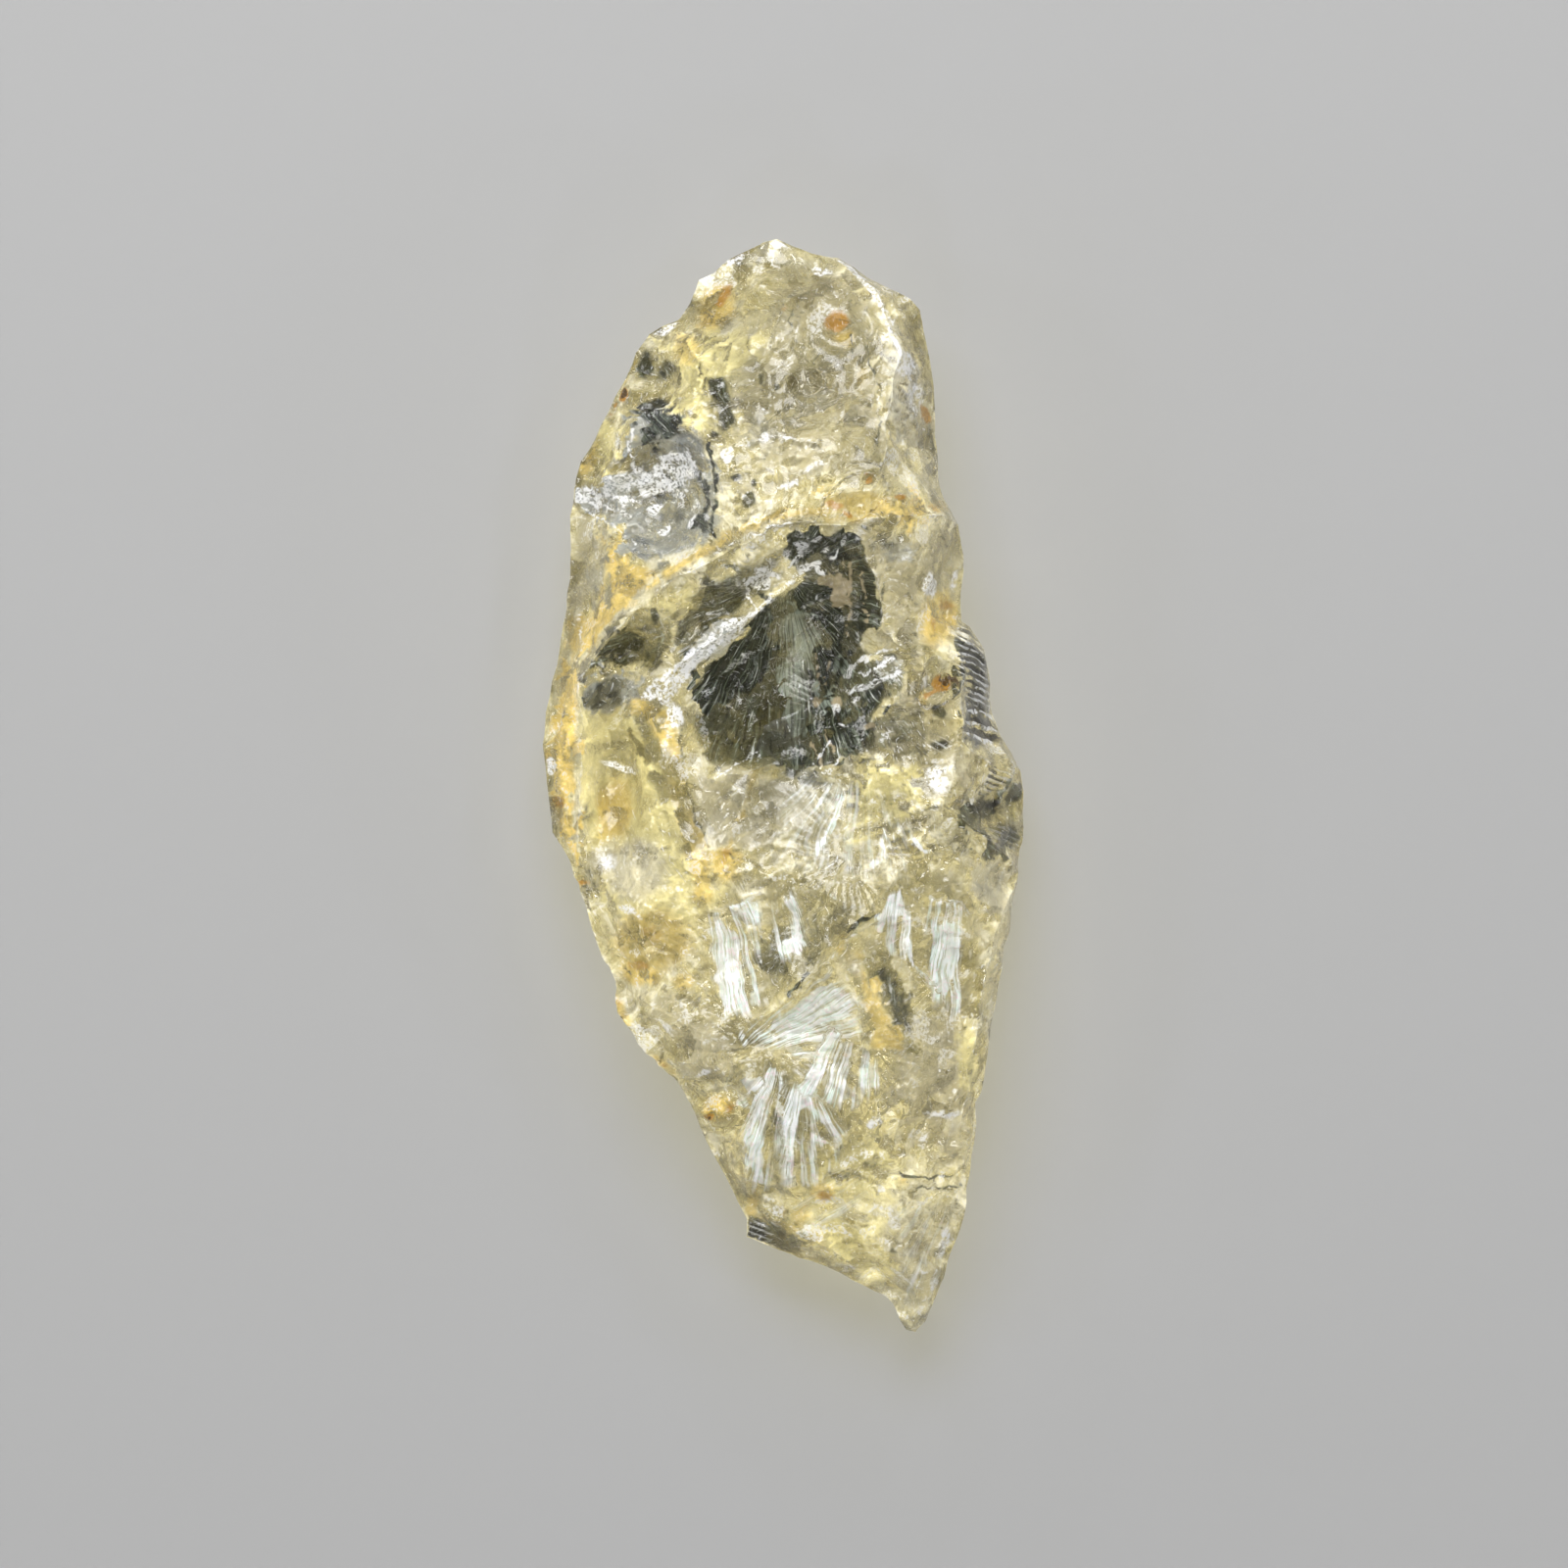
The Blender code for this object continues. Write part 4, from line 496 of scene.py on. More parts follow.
# Smooth windows in the broken skin, and the stepped faces
zones = {
    "glassy": [
        area(1, 0.5, -6.6, 20, -5.2, 18.8, -6.6, 16.8, -8.6, 15.4, -10, 15.6, -11.6, 17.6, -12, 18.8,
            -9.4, 20),
        area(1, 0.4, -11.6, 27, -9, 27, -7.4, 25.6, -8.4, 24.4, -10.6, 24, -11.8, 25.4),
        area(1, 0.4, 5.2, 18.9, 1.6, 18.4, -3.6, 15.6, -9, 12.4, -13.4, 10.2, -13.8, 8.4, -9.4, 7.2,
            -7.6, 4.6, -7.2, 0.8, -2.6, 0.9, 1.6, 0.4, 5, 2.4, 8, 6.4, 7.2, 12, 6, 16.6),
        area(0.8, 0.5, -14.8, 7.4, -11.8, 7, -9.6, 3.6, -7.6, 1, -5.6, -4.4, -8.6, -4.4, -14.6, -4.4,
            -15, 0),
        area(0.8, 0.5, -6.8, 0.6, -2.6, 0.8, 1.6, 0.2, 3, -2, 2.2, -5.2, -5, -5),
        area(0.8, 0.6, -6.4, -8.6, 2, -7, 9, -6.8, 14, -5, 16.4, -6.4, 15.6, -10, 13.4, -16.4, 9.6, -19.4,
            6.2, -24, 2, -30, -3.2, -29.2, -3, -18),
        area(0.9, 0.3, 12.7, 11, 13.8, 11.6, 14.9, 9.6, 15.4, 5, 15.2, 2.6, 13, 3.2),
    ],
    "calm": [
        area(1, 1.2, -3, 37, 3, 37.6, 6.4, 35, 7.2, 31, 7, 26, 9.6, 22.6, 2, 21.4, -3, 22.6, -3, 27,
            -5, 31),
        area(1, 0.8, 6, 18.4, 12.8, 18.4, 12.9, 13.6, 12, 8.6, 12.6, 3, 9.2, 8.2, 7.2, 12, 6.2, 15.6),
        area(0.8, 0.8, -15.4, 19, -9, 15, -13, 10.8, -15.4, 9.6),
        area(0.9, 0.8, -14.6, 4.6, -8, 4.6, -5.4, -5, -8, -14, -12.6, -13, -14.8, -4),
        area(0.9, 1, 6.6, -11.6, 9.2, -14, 13.6, -17, 13.6, -26.8, 9.6, -28, 6.8, -20),
        area(0.7, 1, -9.6, -16, -4, -16.6, -2.8, -21.6, -6.4, -22.6, -10, -19.4),
    ],
    "broadSteps": [
        area(1, 0.15, 13, 5.8, 15.3, 5.4, 15.6, 3.4, 15, 2.6, 13.2, 3.2),
    ],
    "cornerSteps": [
        area(0.9, 0.15, 13.9, -0.5, 15.2, 1.2, 16.6, 1.1, 16.9, 0.4, 15.6, -0.2, 14.4, -0.9),
        spot(0.9, -2, -32.8, 1, 1.1), area(0.5, 0.2, 14.2, -3.2, 17.2, -3, 17.2, -4.6, 15.2, -5),
    ],
    "steps": [
        area(1, 0.2, 12.6, 11.4, 13.7, 11.6, 14.8, 9.6, 15.2, 7.4, 15.3, 5.6, 13.2, 5.8, 12.7, 8.6),
        spot(0.4, 1.2, 7.2, 0.9, 1.7), spot(0.6, 11.2, 2.9, 0.9, 0.5),
    ],
}

quartzFinish = {
    "pale": (0.74, 0.695, 0.50),
    "straw": (0.54, 0.49, 0.28),
    "olive": (0.36, 0.32, 0.15),
    "ink": (0.018, 0.017, 0.012),
    # white of the frosted marks, also used for the painted glints
    "frostAndGlint": (0.95, 0.96, 0.98),
    "veil": (0.90, 0.98, 1.0),
    "veilPink": (0.98, 0.82, 0.93),
    "veilGreen": (0.80, 0.98, 0.93),
    "strandGap": (0.50, 0.52, 0.38),
    "fan": (0.36, 0.43, 0.33),
    "clear": (0.99, 0.98, 0.93),
    "clearRoughness": 0.05,
    "skinThin": 0.25,
    "skinThick": 0.65,
    "hollowPolish": 0.4,
    "shadow": (0.80, 0.78, 0.66),
    "transmission": 1.0,
    "strandWidth": 0.17,  # mm
    "strandLength": 3.0,
    "strandHeight": 0.8,  # share of the strands in the bump
    "veilTear": 1.3,
    "veilSoft": 0.28,
    "bumpStrength": 0.5,
    "bumpDepth": 0.0002,  # metres
    "ior": 1.544,
    "absorption": (0.92, 0.87, 0.62),
    "density": 30.0,
}

# Growth steps: their direction in radians, their pitch in mm and how white the light ones are
steppedFaces = {
    "steps": {"turn": 0.44, "pitch": 0.44, "white": 0.6},
    "broadSteps": {"turn": 0.34, "pitch": 0.84, "white": 0.9},
    "cornerSteps": {"turn": 0.40, "pitch": 0.42, "white": 0.3},
}
# Noises that bend, break and shift the lines, then where the dark and the light ones start and are full
stepLines = {
    "bend": (0.3, 2.0, 0.5),
    "bendAmount": 0.8,
    "breaks": (0.45, 3.0, 0.6),
    "uneven": (0.5, 1.0, 0.5),
    "unevenAmount": 1.1,
    "waveDark": (0.44, 0.54, 1.0, 0.0),
    "waveLight": (0.64, 0.76),
    "breaksDark": (0.42, 0.46),
    "breaksLight": (0.60, 0.54),
}

# Noises of the skin: scale per mm, detail, roughness and distortion
skinClouds = {
    "broad": (0.14, 3.0, 0.55, 0.8),
    "middle": (0.42, 4.0, 0.6, 1.2),
    "fine": (1.5, 4.0, 0.62, 1.0),
    "grain": (4.6, 3.0, 0.6, 0.6),
    "sway": (0.12, 2.0, 0.5),
    "strand": (1.0, 3.0, 0.6),
    "swathe": (0.30, 3.0, 0.6),
}
# Streaks of the skin: direction in radians, width and length in mm
skinStreaks = {
    "leaning": {"Turn": -0.3, "Width": 0.35, "Length": 3.2},
    "upright": {"Turn": 0.9, "Width": 0.30, "Length": 3.6},
    "strokeLean": {"Turn": -0.2, "Width": 0.13, "Length": 1.1},
    "strokeUp": {"Turn": 1.1, "Width": 0.12, "Length": 1.2},
}
# Where a noise or a mask starts to show and where it is full, then its two ends if not 0 and 1
skinRanges = {
    "insideMask": (0.03, 0.3),
    "uprightFibres": (0.46, 0.54),
    "straw": (0.42, 0.50),
    "pale": (0.50, 0.58),
    "thickSkin": (0.40, 0.60),
    "greenVeil": (0.46, 0.58),
    "pinkVeil": (0.54, 0.64),
    "whiteStrand": (0.50, 0.58),
    "strandGap": (0.47, 0.38, 0.0, 0.85),
    "solidVeil": (0.62, 1.0, 0.0, 0.78),
    "veilSwathe": (0.44, 0.54),
    "veilStrand": (0.34, 0.54, 0.3, 1.0),
    "flakeLight": (0.30, 0.95, 0.32, 1.72),
    "reliefShadeLight": (-0.9, 0.9, 0.58, 1.32),
    "slopeShadeLight": (0.35, 1.0, 1.10, 0.93),
    "glintFlakes": (0.80, 0.90),
    "glintGrain": (0.42, 0.54),
    "darkReflectionFlakes": (0.46, 0.36),
    "darkReflectionGrain": (0.56, 0.46),
    "frostGrain": (0.41, 0.53),
    "panelStrand": (0.38, 0.56, 0.25, 1.0),
    "hollowGlow": (0.50, 0.66),
    "hollowGlint": (0.64, 0.72),
    "hollowInk": (0.46, 0.36),
    "hollowPolish": (0.4, 0.9),
    "ridgeGlintWhite": (0.42, 0.60),
    "leanPatch": (0.50, 0.60),
    "uprightPatch": (0.50, 0.42),
    "glintStroke": (0.60, 0.67),
    "darkReflectionStroke": (0.38, 0.31),
    "roughness": (0.35, 0.65, 0.10, 0.32),
}
# How much each thing adds to the tone and the brightness of the skin. sugar: the broken skin
# outside the windows, plain: everywhere
skinAmounts = {
    "strength": 0.95,  # of a tone over the colour, where no other is given
    "soak": 0.1,
    "flaky": 0.4,
    "fineCover": 0.6,  # tones that cover more than this are torn by the fine noise
    "stain": 0.34,  # share of the skin's colour in the clear stone
    "calm": 0.5,
    "sway": 1.6,
    "facetSpread": 0.36,
    "facetStart": 0.32,
    "middleMottle": 0.5,
    "broadMottle": 0.3,
    "facetMottle": 0.2,
    "fibreLight": 0.35,
    "flakeLight": 0.70,
    "fineLight": 0.18,
    "grainLight": 0.36,
    "sugarSwing": 0.45,
    "plainSwing": 0.45,
    "sugarDarkReflection": 0.65,
    "plainDarkReflection": 0.2,
    "sugarStrokes": 0.5,
    "plainStrokes": 0.5,
    "sugarStrokeInk": 0.7,
    "plainStrokeInk": 0.25,
}

studio = {
    "frameWidth": 0.11456,  # metres across the frame at the middle of the stone
    "cameraHeight": 0.75,
    "middle": 0.008,  # metres, height of the middle of the stone
    "sensor": 36.0,
    "farthest": 20.0,  # metres that the camera sees
    "floorSize": 3.0,
    "floorColour": (0.37, 0.37, 0.37),
    "floorRoughness": 0.7,
    "world": 0.085,
    "cardStart": 0.62,  # height on the sky where the dark card over the camera begins
    "cardFull": 0.80,
    "cardLight": 0.06,
    "panelScale": 4.0,
    "panelSize": 0.235,
    "panelEdge": 0.7,  # share of the panel that is fully lit
    "panelLight": 11.0,
    "keyPower": 2.8,
    "keyPlace": (-0.04, 0.30, 0.50),
    "keySize": 0.30,
    "bounces": 8,
    "diffuseBounces": 2,
    "glossyBounces": 3,
    "glintLamps": 9,
    "glintPower": 0.18,
    "glintSize": 0.05,
    "glintAway": 0.55,
    "glintStart": 0.35,  # share of the gap between two lamps
    "glintLean": (34.0, 14.0),  # degrees from upright, and the step between the three rows
    "lampAim": (0.0, 0.0, 0.01),
}


def pickOnly(piece):
    bpy.ops.object.select_all(action="DESELECT")
    piece.select_set(True)
    bpy.context.view_layer.objects.active = piece


def copyStone():
    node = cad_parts["quartz_crystal"]
    piece = node.copy()
    piece.data = node.data.copy()
    piece.name = "quartz_stone"
    piece.parent = None
    bpy.context.scene.collection.objects.link(piece)
    pickOnly(piece)
    bpy.ops.object.mode_set(mode="EDIT")
    bpy.ops.mesh.select_all(action="SELECT")
    bpy.ops.mesh.remove_doubles(threshold=0.001 * mm)
    bpy.ops.mesh.select_all(action="DESELECT")
    bpy.ops.mesh.select_mode(type="EDGE")
    bpy.ops.mesh.edges_select_sharp(sharpness=math.radians(stoneShape["ridgeAngle"]))
    bpy.ops.mesh.mark_sharp()
    bpy.ops.mesh.select_all(action="SELECT")
    bpy.ops.mesh.subdivide(number_cuts=stoneShape["cuts"])
    bpy.ops.object.mode_set(mode="OBJECT")
    return piece


def readPlaces(mesh):
    flat = np.empty(len(mesh.vertices) * 3)
    mesh.vertices.foreach_get("co", flat)
    return flat.reshape(-1, 3) / mm


def writePlaces(mesh, places):
    mesh.vertices.foreach_set("co", (places * mm).ravel())
    mesh.update()


def readNormals(mesh):
    flat = np.empty(len(mesh.vertices) * 3)
    mesh.vertex_normals.foreach_get("vector", flat)
    return flat.reshape(-1, 3)


def edgePairs(mesh):
    flat = np.empty(len(mesh.edges) * 2, dtype=np.int64)
    mesh.edges.foreach_get("vertices", flat)
    return flat.reshape(-1, 2)


def sharpPoints(mesh):
    marks = np.zeros(len(mesh.edges), dtype=bool)
    mesh.attributes["sharp_edge"].data.foreach_get("value", marks)
    return np.unique(edgePairs(mesh)[marks])


def gapTo(places, targets):
    # Distance from every place to the nearest of the targets
    tree = KDTree(len(targets))
    for i, target in enumerate(targets):
        tree.insert(target, i)
    tree.balance()
    return np.array([tree.find(place)[2] for place in places])


def smoothed(values, pairs, count, share, steps):
    degree = np.bincount(pairs.ravel(), minlength=count).astype(float)
    for _ in range(steps):
        total = np.zeros_like(values)
        np.add.at(total, pairs[:, 0], values[pairs[:, 1]])
        np.add.at(total, pairs[:, 1], values[pairs[:, 0]])
        values = values + share[:, None] * (total / degree[:, None] - values)
    return values


def blurred(values, pairs, count, steps):
    degree = np.bincount(pairs.ravel(), minlength=count)
    for _ in range(steps):
        total = np.bincount(pairs[:, 0], values[pairs[:, 1]], count)
        total += np.bincount(pairs[:, 1], values[pairs[:, 0]], count)
        values = total / degree
    return values


def noiseAt(places, size, offset=0.0):
    shifted = places / size + offset
    return np.array([noise.noise(Vector(place)) for place in shifted])


def knockFlakes(places, normals, order, picks, recipe, chance, looks):
    # Shallow bowls at some of the picked points; each lowers only what stands above it
    habit = flakeHabit
    heights = places[order, 1]
    lowReach, highReach = recipe["radius"]
    lowDepth, highDepth = recipe["depth"]
    for _ in range(recipe["count"]):
        at = picks[chance.randrange(len(picks))]
        share = chance.random() ** habit["smallMore"]
        depth = lowDepth + (highDepth - lowDepth) * share
        reach = lowReach + (highReach - lowReach) * share
        tilt = np.array([chance.uniform(-1, 1) for _ in range(3)]) * habit["tilt"]
        outward = normals[at] + tilt
        outward /= np.linalg.norm(outward)
        turn = looks["grainTurn"][at] + chance.gauss(0.0, habit["turnSpread"])
        side = np.cross(outward, (math.cos(turn), math.sin(turn), 0.0))
        side /= np.linalg.norm(side)
        narrow = chance.uniform(habit["narrowest"], 1.0)
        reach /= math.sqrt(narrow)
        first = np.searchsorted(heights, places[at, 1] - reach - habit["reachMargin"])
        last = np.searchsorted(heights, places[at, 1] + reach + habit["reachMargin"])
        near = order[first:last]
        away = places[near] - places[at]
        rise = away @ outward
        across = away @ side
        square = (away * away).sum(axis=1) - rise * rise
        square += across * across * (1.0 / (narrow * narrow) - 1.0)
        bowl = depth * np.clip(1.0 - square / (reach * reach), 0.0, 1.0)
        bowl[np.abs(rise) > reach] = 0.0
        drop = np.clip(rise + bowl, 0.0, bowl)
        places[near] -= drop[:, None] * outward
        struck = drop > habit["leastDrop"]
        # Painted light: each flake gets its own brightness, lighter to one side, standing in for how its
        # curved face catches the light
        slope = chance.choice((-1.0, 1.0)) * across[struck] / (reach * narrow)
        shade = chance.gauss(0.5, habit["shadeSpread"])
        looks["shade"][near[struck]] = shade + habit["shadeSlope"] * slope
        looks["hue"][near[struck]] = chance.random()


def ringHeights(x, y):
    total = np.zeros_like(x)
    for ring in rings.values():
        gap = np.hypot(x - ring["centre"][0], y - ring["centre"][1])
        fade = np.clip(1.0 - gap / ring["reach"], 0.0, 1.0) ** 0.5
        total += ring["height"] * fade * np.sin(2 * math.pi * gap / ring["spacing"])
    return total


def rayHeights(x, y, wander):
    total = np.zeros_like(x)
    for ray in rays.values():
        dx, dy = x - ray["centre"][0], y - ray["centre"][1]
        gap = np.hypot(dx, dy)
        turn = np.arctan2(dy, dx) + rayHabit["turnWander"] * wander
        fade = np.clip(1.0 - gap / ray["reach"], 0.0, 1.0) ** 0.5
        fade *= np.clip(gap / rayHabit["quiet"], 0.0, 1.0)
        saw = turn * ray["count"] / (2 * math.pi) * 2 + wander * rayHabit["sawWander"]
        saw = np.abs(saw % 2.0 - 1.0)
        total += ray["height"] * fade * (saw - 0.5) * 2
    return total


def smoothStep(low, high, value):
    t = np.clip((value - low) / (high - low), 0.0, 1.0)
    return t * t * (3 - 2 * t)


def segmentGap(x, y, start, end):
    dx, dy = end[0] - start[0], end[1] - start[1]
    along = ((x - start[0]) * dx + (y - start[1]) * dy) / (dx * dx + dy * dy)
    along = np.clip(along, 0.0, 1.0)
    return np.hypot(x - start[0] - along * dx, y - start[1] - along * dy)


def areaMask(x, y, softness, corners):
    gap = np.full_like(x, 1e9)
    inside = np.zeros(x.shape, dtype=bool)
    for start, end in zip(corners, corners[1:] + corners[:1]):
        gap = np.minimum(gap, segmentGap(x, y, start, end))
        crosses = (start[1] > y) != (end[1] > y)
        rise = end[1] - start[1] if end[1] != start[1] else 1e-9
        inside ^= crosses & (x < (end[0] - start[0]) * (y - start[1]) / rise + start[0])
    return smoothStep(-softness, softness, np.where(inside, gap, -gap))


def lineMask(x, y, width, points):
    gap = np.full_like(x, 1e9)
    for start, end in zip(points, points[1:]):
        gap = np.minimum(gap, segmentGap(x, y, start, end))
    start, full = maskEdges["line"]
    return 1.0 - smoothStep(width * start, width * full, gap)


def spotMask(x, y, middleX, middleY, halfX, halfY, turn):
    angle = math.radians(turn)
    dx, dy = x - middleX, y - middleY
    u = (dx * math.cos(angle) + dy * math.sin(angle)) / halfX
    v = (dy * math.cos(angle) - dx * math.sin(angle)) / halfY
    return 1.0 - smoothStep(*maskEdges["spot"], np.hypot(u, v))


def toneMask(x, y, shapes, jag=(0.0, 0.0)):
    # Strength of the shapes at each place. Jag moves the edges of areas flake by flake
    mask = np.zeros_like(x)
    for kind, strength, *rest in shapes:
        if kind == "area":
            shape = areaMask(x + jag[0], y + jag[1], *rest)
        elif kind == "line":
            shape = lineMask(x, y, *rest)
        else:
            shape = spotMask(x, y, *rest)
        mask = np.maximum(mask, strength * shape)
    return mask


def strandPlaces(x, y, straightX, straightY):
    # How strong the veils are, and how far across and along their strands each point lies
    best = np.zeros_like(x)
    for strands in (hollowStrands, *veils.values()):
        dx, dy = straightX - strands["root"][0], straightY - strands["root"][1]
        turn = np.arctan2(dx, -dy)
        strength = toneMask(x, y, strands.get("shapes", []))
        if "shapes" in strands:
            here = strength > best + 0.02
        else:
            across, along = np.zeros_like(x), np.zeros_like(x)
            here = np.full(x.shape, True)
        across[here] = turn[here] * strands["reach"]
        along[here] = np.hypot(dx, dy)[here]
        best = np.maximum(best, strength)
    return best, across, along


def bulges(places, normals, pairs):
    # How far each point stands out from the middle of its neighbours, in mm
    total = np.zeros_like(places)
    np.add.at(total, pairs[:, 0], places[pairs[:, 1]])
    np.add.at(total, pairs[:, 1], places[pairs[:, 0]])
    degree = np.bincount(pairs.ravel(), minlength=len(places)).astype(float)
    return ((places - total / degree[:, None]) * normals).sum(axis=1)


def writeAttribute(mesh, name, values):
    layer = mesh.attributes.new(name, "FLOAT", "POINT")
    layer.data.foreach_set("value", values.astype(np.float32))


def shapeStone(piece):
    mesh = piece.data
    shape = stoneShape
    chance = random.Random(shape["seed"])
    pairs = edgePairs(mesh)
    ridgePoints = sharpPoints(mesh)
    places = readPlaces(mesh)
    count = len(places)
    gap = gapTo(places, places[ridgePoints])
    share = smoothStep(0.0, shape["ridgeReach"], gap) * shape["smoothShare"]
    onFlat = places[:, 2] < shape["flat"]
    share[onFlat] = 0.0
    places = smoothed(places, pairs, count, share, shape["smoothSteps"])
    writePlaces(mesh, places)
    normals = readNormals(mesh)
    print("stone: smoothed,", count, "points")

    x, y = places[:, 0], places[:, 1]
    smooth = places.copy()
    edgeGap = gapTo(places, places[np.abs(normals[:, 2]) < shape["sideFacing"]])
    limit = shape["outlineLimit"] + shape["limitGain"] * smoothStep(0.0, shape["limitReach"], edgeGap)
    glassy = toneMask(x, y, zones["glassy"])
    top = normals[:, 2] > shape["topFacing"]
    under = np.where((normals[:, 2] < 0.0) & ~onFlat)[0]
    calm = toneMask(x, y, zones["calm"])
    windows = np.where(top & (glassy > 0.5))[0]
    sugar = np.where(top & (glassy < 0.5) & (calm < 0.5))[0]
    sides = np.where(top & (glassy < 0.5))[0]
    ridgeTop = ridgePoints[normals[ridgePoints, 2] > shape["topFacing"]]
    rim = ridgePoints[np.abs(normals[ridgePoints, 2]) < shape["rimFacing"]]
    order = np.argsort(places[:, 1])
    turn, swing = shape["flowTurn"]
    grainTurn = turn + swing * noiseAt(places, shape["flowSize"], offsets["flow"])
    looks = {"shade": np.full(count, 0.5), "hue": np.full(count, 0.5), "grainTurn": grainTurn}
    for name, picks in (("back", under), ("broad", np.where(top)[0]), ("window", windows),
                        ("middle", sides), ("small", sugar), ("ridges", ridgeTop), ("rim", rim)):
        knockFlakes(places, normals, order, picks, flakes[name], chance, looks)
    moved = places - smooth
    travel = np.linalg.norm(moved, axis=1)
    keep = limit * (1.0 - np.exp(-travel / limit)) / np.maximum(travel, 1e-9)
    places = smooth + moved * keep[:, None]
    print("stone: flakes knocked off")

    x, y = places[:, 0], places[:, 1]
    front = smoothStep(*shape["front"], normals[:, 2])
    (waveSize, waveHeight), (rippleSize, rippleHeight) = shape["warp"]
    wander = noiseAt(places, waveSize, offsets["wander"])
    height = shape["lump"] * noiseAt(places, shape["lumpSize"], offsets["lump"])
    height += shape["grain"] * noiseAt(places, shape["grainSize"], offsets["grain"])
    height += front * (ringHeights(x, y) + rayHeights(x, y, wander))
    height[onFlat] = 0.0
    places += normals * height[:, None]
    places[:, 2] = np.where(onFlat, 0.0, np.maximum(places[:, 2], shape["least"]))
    writePlaces(mesh, places)

    warpX = x + waveHeight * wander + rippleHeight * noiseAt(places, rippleSize, offsets["warpX"])
    warpY = y + waveHeight * noiseAt(places, waveSize, offsets["warpY"])
    warpY += rippleHeight * noiseAt(places, rippleSize, offsets["fineWarpY"])
    otherHue = (looks["hue"] * 7.13) % 1.0  # a second even draw for each flake, made from the first
    jag = shape["jag"] * np.stack([looks["hue"] - 0.5, otherHue - 0.5])
    for name, tone in tones.items():
        writeAttribute(mesh, name, toneMask(warpX, warpY, tone["shapes"], jag) * front)
    for name, shapes in zones.items():
        writeAttribute(mesh, name, toneMask(warpX, warpY, shapes) * front)
    straightX = x + shape["strandWarp"] * (warpX - x)
    straightY = y + shape["strandWarp"] * (warpY - y)
    veil, across, along = strandPlaces(warpX, warpY, straightX, straightY)
    writeAttribute(mesh, "veil", veil * front)
    size, sway = shape["strandSway"]
    writeAttribute(mesh, "across", across + sway * noiseAt(places, size, offsets["strands"]))
    writeAttribute(mesh, "along", along)
    # Painted shade by slope: each point is painted duller or lighter by how its face leans
    toLight = np.array(shape["lightSide"]) / np.linalg.norm(shape["lightSide"])
    paintedSlopeShade = blurred(readNormals(mesh) @ toLight, pairs, count, shape["slopeShadeSteps"])
    writeAttribute(mesh, "paintedSlopeShade", paintedSlopeShade)
    # Painted light and shade: points above their surroundings are painted lighter, points in hollows
    # darker
    paintedReliefShade = places[:, 2] - blurred(places[:, 2], pairs, count, shape["reliefShadeSteps"])
    writeAttribute(mesh, "paintedReliefShade", paintedReliefShade * front)
    # Painted glints: points that stand out on the ridges are painted white
    bulge = bulges(places, readNormals(mesh), pairs)
    writeAttribute(mesh, "paintedRidgeGlint", smoothStep(*shape["ridgeGlintBulge"], bulge) * front)
    writeAttribute(mesh, "shade", np.clip(looks["shade"], 0.0, 1.0))
    writeAttribute(mesh, "hue", looks["hue"])
    print("stone: tones laid")


class Wiring:
    # Short calls for placing and joining shader nodes in one tree

    def __init__(self, tree):
        self.tree = tree

    def add(self, kind, **settings):
        node = self.tree.nodes.new(kind)
        for name, value in settings.items():
            setattr(node, name, value)
        return node

    def plug(self, value, socket):
        if isinstance(value, bpy.types.NodeSocket):
            self.tree.links.new(value, socket)
        elif value is not None:
            socket.default_value = value

    def maths(self, operation, a, b=None, c=None):
        node = self.add("ShaderNodeMath", operation=operation)
        for value, socket in zip((a, b, c), node.inputs):
            self.plug(value, socket)
        return node.outputs[0]

    def scaled(self, place, scale):
        node = self.add("ShaderNodeVectorMath", operation="SCALE")
        self.plug(place, node.inputs[0])
        self.plug(scale, node.inputs["Scale"])
        return node.outputs["Vector"]

    def group(self, tree, **values):
        node = self.add("ShaderNodeGroup", node_tree=tree)
        for name, value in values.items():
            self.plug(value, node.inputs[name])
        return node

    def blend(self, amount, a, b, mode="MIX"):
        node = self.add("ShaderNodeMix", data_type="RGBA", blend_type=mode)
        self.plug(amount, node.inputs["Factor"])
        self.plug(a if isinstance(a, bpy.types.NodeSocket) else (*a, 1.0), node.inputs[6])
        self.plug(b if isinstance(b, bpy.types.NodeSocket) else (*b, 1.0), node.inputs[7])
        return node.outputs[2]

    def mask(self, name):
        node = self.add("ShaderNodeAttribute", attribute_name=name)
        return node.outputs["Fac"]

    def span(self, value, low, high, toLow=0.0, toHigh=1.0):
        node = self.add("ShaderNodeMapRange", interpolation_type="SMOOTHSTEP")
        for amount, name in ((value, "Value"), (low, "From Min"), (high, "From Max"),
                             (toLow, "To Min"), (toHigh, "To Max")):
            self.plug(amount, node.inputs[name])
        return node.outputs["Result"]

    def cloud(self, place, scale, detail, rough, twist=0.0):
        node = self.add("ShaderNodeTexNoise")
        for amount, name in ((place, "Vector"), (scale, "Scale"), (detail, "Detail"),
                             (rough, "Roughness"), (twist, "Distortion")):
            self.plug(amount, node.inputs[name])
        return node.outputs["Fac"]

    def mixed(self, share, a, b):
        node = self.add("ShaderNodeMixShader")
        for shader, socket in zip((share, a, b), node.inputs):
            self.plug(shader, socket)
        return node.outputs[0]


